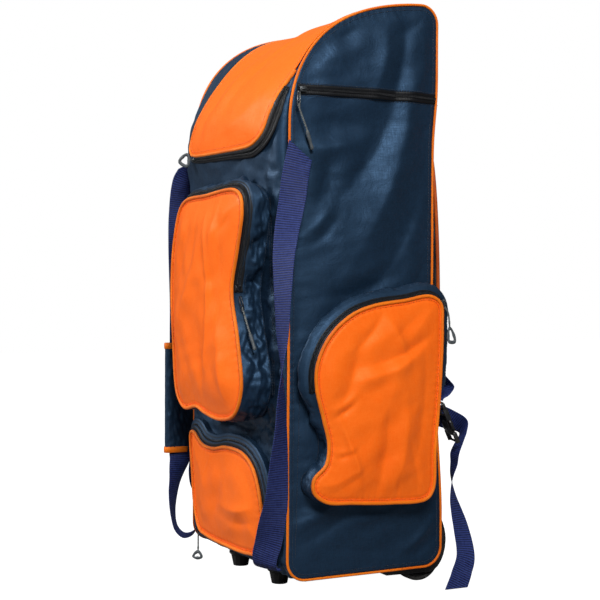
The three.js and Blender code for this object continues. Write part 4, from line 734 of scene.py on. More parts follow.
zip_height, zip_reach = 793.5, 127.0
for label, side in (("right", 1), ("left", -1)):
    y = np.linspace(-zip_reach, zip_reach, 90)
    stand = np.max([side_out(y, np.full(90, zip_height + d), False) for d in (-8, 0, 8)], 0) + 1.3
    middle = np.c_[side * (panel_aside + stand), y, np.full(90, zip_height)]
    make_zip(f"side_zip_{label}", middle, np.tile((side, 0, 0), (90, 1)), tape_width, f"side_zip_{label}")

band = np.array([(0, 0.5), (0.4, 0.5), (0.56, 0.65), (0.64, 1.15), (0.72, 1.2), (0.84, 0.6), (1, 0.4)])
share = np.linspace(0, 1, len(lid_line))
band_width = tape_width * read_table(band, 1, share)
band_inner = lid_line - edge_ways(lid_line, False) * 3.0
band_outer = band_inner - edge_ways(lid_line, False) * band_width[:, None]
band_outer[:, 0] = np.clip(band_outer[:, 0], -panel_aside + 4, panel_aside - 6)
band_line = (band_inner + band_outer) / 2
band_width = np.linalg.norm(band_inner - band_outer, axis=1)
keep = int(np.argmax(band_inner[:, 0] > panel_aside - 11)) or len(lid_line)
band_x, band_r = band_line[2:keep:3, 0], band_line[2:keep:3, 1]
make_zip("lid_zip", front_point(band_x, band_r, 1.6), surface_ways(lambda a, b: front_point(a, b, 0.0), band_x, band_r),
         band_width[2:keep:3] + 3, "lid_zip", (-0.16, 0.16))

# Stitching: bonded thread, sunk a little into the cloth beside each seam.
stitch = small_thing("stitch", *rod([(-1.5, 0, -0.1), (-0.9, 0, 0.28), (0.9, 0, 0.28), (1.5, 0, -0.1)], 0.42, 6))
stitch_tree = row_tree("row of stitches")


def thread_finish(name, tone):
    material, tree, shader, where = new_finish(name)
    plug(tree, shader.inputs["Base Color"], tint(tree, noise(tree, where["Object"], 900.0), colour(*tone),
                                                 colour(*(min(c + 34, 255) for c in tone))))
    plug(tree, shader.inputs["Roughness"], ramp(tree, noise(tree, where["Object"], 300.0), 0.3, 0.7, 0.4, 0.6))
    return material


navy_thread, orange_thread = thread_finish("navy thread", (14, 24, 40)), thread_finish("orange thread", (214, 78, 12))


def sew(name, rows, outs, thread, slot, step=4.4):
    sewn = grow(name, rows, stitch_tree, outs, Thing=stitch, Step=step / 1000, Size=(1, 1, 1), Finish=thread, Seed=len(name))
    return sewn


def side_row(side, y, z, lift=0.3):
    y, z = np.broadcast_arrays(np.asarray(y, float), np.asarray(z, float))
    return np.c_[side * (panel_aside + side_out(y, z) + lift), y, z], np.tile((side, 0, 0), (len(y), 1))


for label, side in (("right", 1), ("left", -1)):
    rows = [side_row(side, np.linspace(-131, 131, 120), z) for z in (zip_height - 9.6, zip_height + 9.6)]
    rows += [side_row(side, np.linspace(-126, -120, 40), np.linspace(66, 330, 40))]
    rows += [side_row(side, *between(profile - edge_ways(profile, True) * 8.5, (20, 36), (40, 30), 700).T)]
    sew(f"side_stitches_{label}", *zip(*rows), navy_thread, "navy_cloth")
placket = np.linspace(318, 625, 160)
sew("front_stitches", [front_point(x + 1.5 * np.sin(placket / 31), run_at(placket), 1.3) for x in (148.0, 153.5)],
    [surface_ways(lambda a, b: front_point(a, b, 0.0), np.full(160, x), run_at(placket)) for x in (148.0, 153.5)],
    navy_thread, "navy_cloth")
lid_hem = lid_line[8:-8] + edge_ways(lid_line, False)[8:-8] * 6.5
lid_hem[:, 0] = np.minimum(lid_hem[:, 0], panel_aside - 7)
sew("lid_stitches", [front_point(*lid_hem.T, 2.7)],
    [surface_ways(lambda a, b: front_point(a, b, 0.0), *lid_hem.T)], orange_thread, "orange_piping")

# Zip sliders and pulls: a cast slider on the teeth, a tab with a hole, a knotted cord and a moulded grip.
# The long side zips and the tall pocket have these; the other pockets and the lid have rubber triangles.


def moulded_finish(name, dark, light, rough=(0.35, 0.55), metal=0.0, grain=900.0, deep=0.00006, coat=0.0):
    """Moulded or cast parts: a fine grain, a dusty film in patches and slightly polished high spots."""
    material, tree, shader, where = new_finish(name)
    handled = use_group(tree, wear_group, Vector=where["Object"], Size=2.0)
    fine = noise(tree, where["Object"], grain, 3.0, 0.6)
    plug(tree, shader.inputs["Base Color"], tint(tree, sum_of(tree, "MULTIPLY", handled["Rubbed"], handled["Patches"]),
                                                 colour(*dark), colour(*light)))
    plug(tree, shader.inputs["Roughness"], ramp(tree, sum_of(tree, "ADD", fine, handled["Rubbed"]), 0.3, 1.5, *rough))
    shader.inputs["Metallic"].default_value = metal
    shader.inputs["Coat Weight"].default_value = coat
    raise_by(tree, shader, sum_of(tree, "MULTIPLY_ADD", fine, deep, sum_of(tree, "MULTIPLY", handled["Creases"], 0.0001)))
    return material


grey_cast = moulded_finish("grey cast slider", (74, 78, 80), (128, 132, 134), (0.28, 0.45), 0.75)
grey_cord = moulded_finish("grey pull cord", (82, 86, 86), (130, 134, 130), (0.6, 0.8))
dark_rubber = moulded_finish("dark rubber pull", (58, 64, 68), (96, 102, 106), (0.45, 0.65))
black_cast = moulded_finish("black cast slider", (16, 16, 20), (62, 64, 70), (0.25, 0.4), 0.6)


def frame_from(along, out):
    along = np.asarray(along, float) / np.linalg.norm(along)
    out = np.asarray(out, float) - along * (np.asarray(out, float) @ along)
    out /= np.linalg.norm(out)
    return np.stack([along, np.cross(out, along), out])


def slider_parts(seat, along, out):
    """A slider's two plates and the bridge that its tab hangs from."""
    f = frame_from(along, out)
    at = lambda x, y, z: np.asarray(seat, float) + np.array((x, y, z)) @ f
    parts = [rounded_block((10.5, 8.6, 1.5), 0.7, at(0, 0, -1.4), f), rounded_block((9.4, 7.4, 1.4), 0.6, at(0.3, 0, 1.2), f)]
    parts.append(rounded_block((3.4, 2.2, 2.6), 0.6, at(3.2, 0, 0), f))
    parts.append(rod([at(-3.6, 0, 1.4), at(-3.2, 0, 3.6), at(0, 0, 4.4), at(3.4, 0, 3.6), at(4, 0, 1.6)], 0.85, 8))
    return parts


def hung_pull(name, node, seat, along, out, rows, cast, body="bag", side=1):
    """A slider with a tab, a cord and a grip that hang along rows of offsets from its seat."""
    p = np.asarray(seat, float) + np.array(rows, float) * (side, 1, 1)
    parts = slider_parts(seat, along, out)
    tab, way = (p[2] + p[3]) / 2, p[3] - p[2]
    f = frame_from(way, out)
    at = lambda x, y, z: tab + np.array((x, y, z)) @ f
    long = np.linalg.norm(way)
    for y in (-2.3, 2.3):
        parts.append(rod([at(-long / 2 - 2, y * 0.7, 0), at(0, y, 0.2), at(long / 2 + 2, y * 0.8, 0)], 1.0, 8, 0.7))
    for x in (-long / 2 - 2, long / 2 + 1.6, long * 0.18):
        parts.append(rod([at(x, -2.2, 0), at(x, 0, 0), at(x, 2.2, 0)], 1.0, 8, 0.8))
    metal = lay_mesh(name + "_slider", *joined(parts), cast)
    line = round_curve([p[3] + (p[2] - p[3]) * 0.12, *p[4:6], p[6]], 40, False)
    twist, turn = np.linspace(0, 34, 40), []
    side_way = np.cross(line[-1] - line[0], (0.2, 1, 0.1))
    side_way /= np.linalg.norm(side_way)
    front_way = np.cross(side_way, (line[-1] - line[0]) / np.linalg.norm(line[-1] - line[0]))
    for start in (0, math.pi):
        turn.append(rod(line + 0.75 * (np.outer(np.cos(twist + start), side_way) + np.outer(np.sin(twist + start), front_way)),
                        0.85, 7))
    turn.append(rod([line[-3] - (0, 0, 0.5), line[-1]], 2.0, 10))
    cord = lay_mesh(name + "_cord", *joined(turn), grey_cord)
    grip_line = even([p[6], p[7]], 13)
    grip = lay_mesh(name + "_grip", *joined([rod(grip_line, [2.2, 3.0, 2.5, 3.0, 2.5, 3.0, 2.6, 2.5, 2.4, 2.4, 2.6, 3.0, 2.6], 12, 0.8)]),
                    dark_rubber)
    for piece in (metal, cord, grip):
        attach(piece, body)
        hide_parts(node)


def ring_pull(name, node, seat, along, out, stem, corners, cast, side=1):
    """A slider with a cord through a flat rubber triangle that has a hole in it."""
    seat = np.asarray(seat, float)
    line = round_curve(seat + np.array(stem, float) * (side, 1, 1), 24, False)
    ring = seat + np.array(corners, float) * (side, 1, 1)
    middle = ring.mean(0)
    normal = np.cross(ring[1] - ring[0], ring[2] - ring[0])
    normal /= np.linalg.norm(normal)
    loop = even(round_curve(np.vstack([[a * 0.82 + b * 0.18, a * 0.18 + b * 0.82] for a, b in zip(ring, np.roll(ring, -1, 0))]),
                            60, True), 48, True)
    frame_turn = np.linspace(0, 2 * math.pi, 8, endpoint=False)
    away = loop - middle
    away /= np.linalg.norm(away, axis=1)[:, None]
    rings = np.stack([loop + 3.0 * math.cos(t) * away + 1.7 * math.sin(t) * normal for t in frame_turn], 1)
    rubber = lay_mesh(name + "_ring", rings.reshape(-1, 3), grid_faces(48, 8, True, True), dark_rubber)
    metal = lay_mesh(name + "_slider", *joined(slider_parts(seat, along, out)), cast)
    low = ring[0] + (middle - ring[0]) * 0.15
    cord = lay_mesh(name + "_cord", *joined([
        rod(np.vstack([line + (0.7, 0.3, 0), [low]]), 0.8, 7), rod(np.vstack([line - (0.7, 0.3, 0), [low]]), 0.8, 7),
        rod([line[-6], line[-4]], 1.7, 8)]), grey_cord)
    for piece in (rubber, metal, cord):
        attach(piece, "bag")
        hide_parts(node)


long_pull = [(0, 9, 0), (0, -4, 0), (3, -9, -7), (6, -11, -26), (7, -10, -31), (8, 2, -62), (8, 3.5, -67), (8, 12, -93)]
for label, side in (("right", 1), ("left", -1)):
    stand = float(side_out(np.array([-113.0]), np.array([zip_height]), False)[0]) + 4.6
    hung_pull(f"side_pull_{label}", f"side_pull_{label}", (side * (panel_aside + stand), -119, zip_height), (0, 1, 0),
              (side, 0, 0), long_pull, grey_cast, side=side)
slider_at = int(len(band_line) * 0.4)
lid_seat = front_point(*band_line[slider_at], 4.0)
ring_pull("lid_pull", "lid_pull", lid_seat, front_point(*band_line[slider_at + 6], 4.0) - lid_seat, (0, -1, 0.1),
          [(4, 0, 0), (0, -2, 0), (-6, -7, 0)], [(-6, -7, 12), (-6, -7, -12), (-19, -20, -2)], grey_cast)


# Side pockets: a face of orange cloth on a bellows wall of navy cloth, with a corded rim and a zip round its
# top. They are stuffed loosely, so the face is pinched in at its narrow foot and creases run across it.
def pocket(name, wall, ground, ways_out, edge, box, depth, lift, puff, corners, folds, gusset_folds, zip_ends, cells,
           flip, seed, wrinkle, lean, zip_high, most):
    (low_a, low_b), (high_a, high_b) = box
    loop = round_curve([(low_a + (high_a - low_a) * u, low_b + (high_b - low_b) * v) for u, v in edge], 600, True)
    ways = -edge_ways(loop, True)
    rim = lambda b: lift * np.clip((b - low_b) / (high_b - low_b), 0, 1) + depth
    # Face
    tucked = loop - ways * 1.2
    c = [(low_a + (high_a - low_a) * u, low_b + (high_b - low_b) * v) for u, v in corners]
    grid = patch(between(tucked, c[3], c[0], cells[1])[::-1], between(tucked, c[1], c[2], cells[1]),
                 between(tucked, c[0], c[1], cells[0]), between(tucked, c[2], c[3], cells[0])[::-1])
    a, b = grid[..., 0], grid[..., 1]
    reach, place = edge_reach(a, b, loop[::3])
    stand = (puff + fold_height(a, b, folds) + crumple(a, b, seed, (35, 100), 0.9)) * (1 - np.exp(-((reach / 36) ** 2)))
    face = lay_mesh(name + "_face_cloth", wall(a, b, rim(b) + stand + pucker(reach, place, 12, 0.8, 11) + 0.6
                                                         - 1.6 * np.exp(-(((reach - 5.5) / 2.6) ** 2))),
                    grid_faces(*a.shape, flip=flip), orange_cloth, grid, cloth_wall)
    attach(face, "bag")
    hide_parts(name + "_face")
    # Rim
    rim_line = wall(*loop.T, rim(loop[:, 1]))
    seam = grow(name + "_seam", [rim_line], corded, closed=True, Radius=0.0029, Cloth=amber_tape)
    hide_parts(name + "_piping")
    hem = (loop - ways * 5.5)[::2]
    sew(name + "_rim_stitches", [wall(*hem.T, rim(hem[:, 1]) + 0.9)], [ways_out(*hem.T)], orange_thread,
        "orange_piping", 4.8)
    # Zip: its tape leans outwards from the rim, and the wall below it is spread as far.
    lean = math.radians(lean)
    start, stop = (int(np.argmin(np.linalg.norm(loop - p, axis=1))) for p in zip_ends)
    picked = np.arange(start, stop if stop > start else stop + len(loop))
    zipped = np.zeros(len(loop))
    zipped[np.arange(picked[0] - 14, picked[-1] + 14) % len(loop)] = 1
    zipped = np.convolve(np.r_[zipped[-20:], zipped, zipped[:20]], np.full(41, 1 / 41), "valid")[:, None]

    def on_zip(k, lift=0.0):
        """Points over the zip's middle, as places in the outline and how far out they stand."""
        spread = 2.6 + zip_high / 2 * math.sin(lean) + lift * math.cos(lean)
        return wall(*(loop[k] + ways[k] * spread).T, rim(loop[k, 1]) - 2.4 - zip_high / 2 * math.cos(lean)
                    + lift * math.sin(lean))

    track = picked[::2] % len(loop)
    make_zip(name + "_zip", on_zip(track), on_zip(track, 1.0) - on_zip(track), zip_high, name + "_zip")
    # Bellows wall
    up = np.linspace(0, 1, 30)[None, :]
    foot = ground(*(loop + ways * (1.0 + 9.0 * zipped)).T)[:, None] + 0.6
    high = rim(loop[:, 1])[:, None] - 1.2
    stand = foot + (high - foot) * up
    along = np.linspace(0, 1, len(loop), endpoint=False)[:, None] * np.linalg.norm(np.diff(loop, axis=0), axis=1).sum()
    along = along * np.ones_like(up)
    below = np.maximum(high - stand, 0)
    taped = zip_high * math.sin(lean) + 1.5
    lie = zipped * (np.clip(below * math.tan(lean), 0, taped) + (most - taped) * np.clip((below - 6) / 9, 0, 1) ** 0.7
                    - np.clip((below - 18) / 24, 0, 1) * (most - 9))
    swell = (fold_height(along, stand, gusset_folds) + crumple(along, stand * 1.6, seed + 1, (22, 60), wrinkle)
             + crumple(along, stand, seed + 2, (9, 26), wrinkle * 0.45)) * np.clip(below / 14 - 0.5 * zipped, 0, 1) * \
        np.clip((stand - foot) / 6, 0, 1) + 1.6 * np.sin(math.pi * up)
    spread = loop[:, None, :] + ways[:, None, :] * (1.0 + swell + lie)[..., None]
    bellows = lay_mesh(name + "_bellows", wall(spread[..., 0], spread[..., 1], stand),
                       grid_faces(len(loop), 30, round_rows=True, flip=not flip), navy_cloth,
                       np.stack([along, stand], -1), cloth_wall)
    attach(bellows, "bag")
    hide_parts(name + "_gusset")
    edge_row = wall(*(loop[track] + ways[track] * (most + 0.8)).T, rim(loop[track, 1]) - 15.5)
    foot_row = wall(*(loop + ways * (1.6 + 9.0 * zipped)).T, foot[:, 0] + 2.6)
    sew(name + "_wall_stitches", [edge_row, foot_row],
        [wall(*(loop[at] + ways[at]).T, 0 * loop[at, 0]) - wall(*loop[at].T, 0 * loop[at, 0])
         for at in (track, np.arange(len(loop)))], navy_thread, "navy_cloth")
    return loop, on_zip


def front_wall(a, b, out):
    return np.stack(np.broadcast_arrays(np.asarray(a, float), front_seam - out, np.asarray(b, float)), -1)


side_edge = [
    (0.3, 0.015), (0.6, 0), (0.88, 0.005), (0.935, 0.05), (0.95, 0.25), (0.985, 0.55), (1, 0.85), (0.985, 0.965),
    (0.9, 1), (0.7, 0.98), (0.45, 0.955), (0.28, 0.91), (0.12, 0.81), (0.03, 0.68), (0.025, 0.57), (0.08, 0.42),
    (0.12, 0.3), (0.1, 0.205), (0.01, 0.14), (0.01, 0.08), (0.1, 0.03)]
side_box = ((-117.0, 145.5), (118.0, 472.5))
side_pocket_folds = [
    (-68, 272, -24, 50, 5, 5), (-50, 228, -22, 60, 6, 6), (-70, 290, 62, 24, 5, -7), (-72, 302, 62, 26, 7, 6),
    (-88, 352, -6, 62, 16, 8), (-50, 345, 20, 66, 18, -9), (-72, 222, 80, 20, 4, -6), (-72, 230, 80, 20, 5, 5),
    (-58, 160, 66, 30, 9, 5), (-58, 178, 60, 30, 9, -5), (-4, 432, 34, 52, 10, -8), (22, 424, -32, 50, 11, 8),
    (56, 430, 50, 46, 16, -6), (52, 386, 66, 70, 13, -9), (30, 362, 66, 70, 14, 7), (40, 226, 10, 84, 17, 7),
    (8, 214, 8, 90, 16, -7), (84, 300, 5, 90, 13, -6), (70, 186, -10, 50, 10, -5), (10, 168, 4, 26, 7, 5),
    (36, 166, 0, 24, 6, -4), (10, 300, 20, 80, 24, 5), (-106, 200, -40, 30, 8, 3)]
side_gusset_folds = [(820, 18, 8, 14, 12, 5), (860, 22, -20, 16, 9, -5), (790, 25, 25, 16, 8, -4), (900, 20, 10, 16, 10, 4)]
for label, side in (("right", 1), ("left", -1)):
    wall = lambda a, b, out, s=side: np.stack(np.broadcast_arrays(s * (panel_aside + out), np.asarray(a, float),
                                                                  np.asarray(b, float)), -1)
    loop, on_zip = pocket(
        f"side_pocket_{label}", wall, lambda a, b: side_out(a, b, False),
        lambda a, b, s=side: np.tile((s, 0, 0), (len(a), 1)), side_edge, side_box, 41.0, 0.0, 11.0,
        [(0.02, 0.06), (0.925, 0.02), (0.985, 0.98), (0.2, 0.87)], side_pocket_folds, side_gusset_folds,
        ((112, 330), (-111, 322)), (90, 120), side < 0, 11, 1.2, 48, 10.0, 19.0)
    k = int(np.argmin(np.linalg.norm(loop - (118, 458), axis=1)))
    seat = on_zip(k, 2.4)
    ring_pull(f"side_pocket_{label}_pull", f"side_pocket_{label}_pull", seat, (0, 0, 1), on_zip(k, 3.4) - seat,
              [(0, 0, 6), (0, 2, -6), (3, 6, -14), (5, 8, -34), (5, 8, -39)], [(5, 8, -36), (9, 18, -62), (9, 3, -62)],
              grey_cast, side)

# Front pockets: a tall one that stands well out from the stuffed front, and a shallow wide one below it.
# Both are of the same make as the side pockets.
front_pocket_ways = lambda a, b: np.tile((0, -1, 0), (len(a), 1))
front_ground = lambda a, b: front_out(np.clip(a, -front_reach, front_reach), run_at(b))
upper_edge = [
    (0.19, 0.016), (0.38, 0.033), (0.5, 0.014), (0.72, 0), (0.91, 0.035), (1, 0.148), (0.95, 0.36), (0.87, 0.57),
    (0.94, 0.74), (1, 0.9), (0.98, 0.97), (0.9, 1), (0.5, 0.99), (0.2, 0.975), (0.11, 0.93), (0.02, 0.77),
    (-0.01, 0.56), (0.02, 0.32), (0.08, 0.08)]
upper_folds = [
    (42, 470, 0, 110, 7, 5), (-40, 470, 36, 120, 26, 7), (-80, 520, 30, 90, 24, -6), (75, 520, 10, 60, 14, -5),
    (100, 590, 45, 20, 10, -6), (70, 430, 20, 30, 9, -5), (90, 360, -10, 60, 14, 5), (-90, 310, -35, 44, 8, 4),
    (10, 330, 5, 60, 14, -5), (60, 580, 10, 50, 12, 4), (-20, 560, 12, 60, 14, -4)]
upper_gusset_folds = [
    (560, 38, 10, 16, 9, 8), (585, 30, 35, 22, 8, -9), (605, 42, -30, 18, 9, 7), (470, 34, 20, 22, 10, 6),
    (500, 40, -25, 20, 9, -7), (650, 36, 15, 26, 11, 6), (690, 30, -20, 22, 10, -7), (430, 28, 25, 20, 9, -6),
    (380, 36, 0, 20, 12, 5), (730, 40, 20, 22, 11, 5), (1150, 36, 20, 26, 12, 6), (1230, 34, -20, 26, 11, -6)]
loop, on_zip = pocket(
    "upper_pocket", front_wall, front_ground, front_pocket_ways, upper_edge, ((-140.0, 272.5), (143.0, 638.5)), 61.0, 0.0, 14.0,
    [(0.08, 0.06), (0.94, 0.05), (0.98, 0.97), (0.11, 0.94)], upper_folds, upper_gusset_folds,
    ((108, 478), (-130, 360)), (90, 120), False, 21, 2.2, 52, 16.0, 15.0)
k = int(np.argmin(np.linalg.norm(loop - (107, 484), axis=1)))
seat = on_zip(k, 2.4)
hung_pull("upper_pocket_pull", "upper_pocket_pull", seat, (0, 0, 1), on_zip(k, 3.4) - seat, [
    (0.5, 0, 3), (2, 0, -7), (8, 1, -15), (13, 3, -32), (14, 4, -37), (26, 8, -66), (28, 9, -71), (37, 13, -95)],
    black_cast)

lower_edge = [
    (0.2, 0.02), (0.5, 0.005), (0.8, 0.02), (0.97, 0.08), (0.985, 0.3), (0.955, 0.55), (0.87, 0.79), (0.74, 0.9),
    (0.5, 0.92), (0.3, 0.87), (0.14, 0.89), (0.03, 0.98), (-0.02, 0.97), (0.0, 0.55), (0.02, 0.3), (0.09, 0.06)]
lower_folds = [
    (-55, 195, 20, 26, 5, 4), (70, 122, 80, 52, 9, 4), (75, 101, 82, 52, 9, -4), (-20, 130, 30, 60, 22, -4),
    (20, 80, 60, 60, 18, 4), (-100, 90, -30, 42, 11, -4), (100, 170, -30, 40, 12, -3)]
loop, on_zip = pocket(
    "lower_pocket", front_wall, front_ground, front_pocket_ways, lower_edge, ((-135.0, 53.0), (148.0, 232.5)), 22.0, 3.0, 8.0,
    [(0.05, 0.08), (0.96, 0.07), (0.86, 0.8), (0.01, 0.985)], lower_folds, [], ((144, 72), (-124, 66)), (90, 70), False, 31, 0.5, 68, 20.0, 20.0)
k = int(np.argmin(np.linalg.norm(loop - (-122, 60), axis=1)))
seat = on_zip(k, 2.4)
ring_pull("lower_pocket_pull", "lower_pocket_pull", seat, (-0.3, 0, 1), on_zip(k, 3.4) - seat,
          [(-2, 0, 4), (0, 0, -4), (0, 0, -12), (0, 0, -40)], [(0, 0, -38), (-12, -6, -51), (9, 4, -49)], black_cast)

# Carry straps: ribbed violet-blue webbing, 42 mm wide. Each hangs from the side seam by the crown, drops down
# the front and runs on under the base, loosely and with half turns where it isn't pulled tight.
def webbing_finish():
    """Webbing: painted shade makes it dark in the grooves between the ribs and lighter on their crowns, with slanting
    yarns on them.
    """
    material, tree, shader, where = new_finish("ribbed webbing")
    apart = tree.nodes.new("ShaderNodeSeparateXYZ")
    tree.links.new(where["UV"], apart.inputs[0])
    rib = sum_of(tree, "SINE", sum_of(tree, "MULTIPLY", apart.outputs[1], 2 * math.pi / rib_pitch * 1000))
    # Painted shade: the base colour below is dark in the grooves between the ribs and light on their crowns.
    crown = ramp(tree, rib, -0.5, 0.9)
    yarn = use_group(tree, weave_group, Vector=where["UV"], Threads=900.0)
    handled = use_group(tree, wear_group, Vector=where["Object"], Size=1.8)
    base = tint(tree, crown, colour(9, 14, 46), colour(40, 54, 116))
    plug(tree, shader.inputs["Base Color"],
         tint(tree, sum_of(tree, "MULTIPLY", yarn["Thread"], 0.2), base, colour(74, 90, 150)))
    plug(tree, shader.inputs["Roughness"], ramp(tree, handled["Rubbed"], 0.0, 1.0, 0.55, 0.7))
    shader.inputs["Sheen Weight"].default_value = 0.05
    shader.inputs["Specular IOR Level"].default_value = 0.22
    shader.inputs["Sheen Tint"].default_value = colour(90, 96, 190)
    raise_by(tree, shader, sum_of(tree, "MULTIPLY_ADD", yarn["Height"], 0.00012, sum_of(tree, "MULTIPLY", rib, 0.00018)))
    return material


rib_pitch = 3.7
webbing_cloth = webbing_finish()


def webbing(name, node, rows, width, thick, side=1):
    """A strap through rows of x, y, z, turn and tilt, with ribs across it and thin selvedges."""
    rows = np.array(rows, float)
    count = int(np.linalg.norm(np.diff(rows[:, :3], axis=0), axis=1).sum() / (rib_pitch / 4))
    middle = even(round_curve(rows[:, :3], 2400, False), count)
    walk = np.r_[0, np.cumsum(np.linalg.norm(np.diff(middle, axis=0), axis=1))]
    at = [np.argmin(np.linalg.norm(middle - p, axis=1)) for p in rows[:, :3]]
    smooth_turn = lambda column: np.convolve(np.pad(np.interp(np.arange(count), at, np.radians(rows[:, column])),
                                                    20, "edge"), np.full(41, 1 / 41), "valid")
    turn, tilt = smooth_turn(3), smooth_turn(4)
    wide = np.c_[side * np.sin(turn) * np.cos(tilt), np.cos(turn) * np.cos(tilt), np.sin(tilt)]
    way = np.gradient(middle, axis=0)
    way /= np.linalg.norm(way, axis=1)[:, None]
    face = np.cross(wide, way)
    flat = np.linalg.norm(face, axis=1)
    face /= flat[:, None]
    half = width / 2 / np.maximum(flat, 0.5)
    across = np.array([-1, -0.975, -0.9, -0.6, -0.2, 0.2, 0.6, 0.9, 0.975, 1])
    along = walk[:, None] + np.outer(half * np.einsum("ij,ij->i", wide, way), across)
    relief = 0.3 * np.cos(2 * math.pi * along / rib_pitch) * (np.abs(across) < 0.95)
    body = np.where(np.abs(across) > 0.99, 0.25, thick / 2 - 0.3) + np.where(np.abs(across) > 0.99, 0, relief)
    cup = (0.9 * np.sin(walk / 37)[:, None] * (across ** 2 - 0.4))[..., None] * face[:, None]
    centre = middle[:, None] + (half[:, None] * across)[..., None] * wide[:, None] + cup
    top, low = centre + body[..., None] * face[:, None], centre - body[..., None] * face[:, None]
    loop = np.concatenate([top, low[:, ::-1]], 1)
    faces = grid_faces(count, 20, round_cols=True) + [list(range(20))[::-1], list(range((count - 1) * 20, count * 20))]
    across_uv = np.broadcast_to(across * width / 2, along.shape)
    uv = np.concatenate([np.stack([across_uv, along], -1), np.stack([across_uv, along], -1)[:, ::-1]], 1)
    strap = lay_mesh(name, loop.reshape(-1, 3), faces, webbing_cloth, uv.reshape(-1, 2))
    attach(strap, "bag")
    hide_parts(node)
    return strap


def carry_rows(rows, side):
    return [(side * (panel_aside + r[0] * 42), -139 - r[1] * 42, 23.2 + r[2] * 921.3, *(list(r[3:]) + [0])[:2]) for r in rows]


webbing("carry_webbing_right", "carry_strap_right", carry_rows([
    (0.178, -0.36, 0.733, 12, -46), (0.173, -0.14, 0.685, 22), (0.173, -0.04, 0.652, 34), (0.27, 0.24, 0.596, 52),
    (0.44, 0.44, 0.55, 65), (0.54, 0.51, 0.513, 74), (0.61, 0.56, 0.486, 80), (0.68, 0.61, 0.418, 92),
    (0.73, 0.64, 0.37, 115), (0.76, 0.66, 0.32, 133), (0.73, 0.66, 0.266, 142), (0.66, 0.71, 0.214, 158),
    (0.53, 0.75, 0.148, 174), (0.33, 0.78, 0.116, 195), (-0.07, 0.76, 0.073, 220), (-0.26, 0.8, 0.05, 230),
    (-0.4, 0.74, 0.034, 240), (-0.6, 0.54, 0.0255, 252), (-0.8, 0.3, 0.023, 262), (-0.98, 0.06, 0.022, 270)], 1),
    42.0, 2.0)
left_rows = carry_rows([
    (0.108, 0.1, 0.742, 0, 32), (0.3, 0.41, 0.7, -4), (0.44, 0.51, 0.64, -4), (0.51, 0.51, 0.58, -2),
    (0.56, 0.41, 0.46, 0), (0.56, 0.41, 0.41, 0), (0.56, 0.41, 0.33, 0), (0.56, 0.41, 0.24, 0), (0.56, 0.41, 0.172, 0),
    (0.56, 0.41, 0.16, 0), (0.68, 0.52, 0.13, 34), (0.75, 0.64, 0.098, 44), (0.76, 0.66, 0.052, 58),
    (0.76, 0.48, 0.021, 62), (0.76, 0.1, 0.007, 63), (0.76, -0.34, 0.013, 63), (0.74, -0.5, 0.04, 61),
    (0.7, -0.5, 0.083, 54), (0.56, -0.3, 0.115, 42), (0.38, -0.28, 0.14, 25), (0.2, -0.36, 0.165, 8),
    (0.108, -0.42, 0.2, 0)], -1)
webbing("carry_webbing_left", "carry_strap_left", left_rows, 42.0, 2.0, -1)

# Grip: a padded sleeve of navy cloth round the left strap, open at the back, bound with amber tape at both
# ends so that the hand has something wide to hold.
grip_low, grip_high, grip_x, grip_y = 183.8, 381.8, -208.5, -156.2
grip_section = even(np.array([(28, 1.6), (28.6, 3.6), (27, 5.4), (-24, 5.6), (-28.6, 3.9), (-30, 0), (-28.6, -3.9),
                              (-24, -5.6), (27, -5.4), (28.6, -3.6), (28, -1.6), (-26, -1.6), (-26, 1.6)], float), 96, True)
grip_up = np.linspace(0, 1, 90)[:, None]
grip_out = 1.3 * np.sin(math.pi * grip_up) ** 0.6 + 0.5 * crumple(
    grip_section[None, :, 0] * np.ones_like(grip_up) * 3, grip_up * 198, 41, (16, 40), 1.4)
outer_share = np.clip((np.abs(grip_section[:, 1]) - 1.6) / 3, 0, 1)[None, :]
grip_points = np.stack([
    grip_x + grip_section[None, :, 1] + np.sign(grip_section[None, :, 1]) * grip_out * outer_share,
    grip_y + grip_section[None, :, 0] + 0 * grip_up, grip_low + 2 + (grip_high - grip_low - 4) * grip_up + 0 * outer_share], -1)
grip = lay_mesh("grip_pad", grip_points, grid_faces(90, 96, round_cols=True) + [
    list(range(96))[::-1], list(range(89 * 96, 90 * 96))], navy_cloth,
    np.stack([np.linspace(0, 170, 96)[None, :] + 0 * grip_up, 198 * grip_up + 0 * outer_share], -1))
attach(grip, "bag")
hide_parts("grip_wrap")
bound = grip_section[8:70]
for label, low in (("low", grip_low), ("high", grip_high - 11)):
    outwards = -edge_ways(bound, False)
    if (bound + outwards - bound.mean(0))[20, 1] ** 2 < (bound - bound.mean(0))[20, 1] ** 2:
        outwards = -outwards
    levels = np.array([(0, 0.2), (0.4, 1.5), (5.5, 1.8), (10.6, 1.5), (11, 0.2)])
    band_points = np.stack([np.c_[grip_x + (bound + outwards * r)[:, 1], grip_y + (bound + outwards * r)[:, 0],
                                  np.full(len(bound), low + h)] for h, r in levels], 1)
    bound_tape = lay_mesh(f"grip_binding_{label}", band_points, grid_faces(len(bound), 5), amber_tape, wall=0.0006)
    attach(bound_tape, "bag")
    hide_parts("grip_wrap")

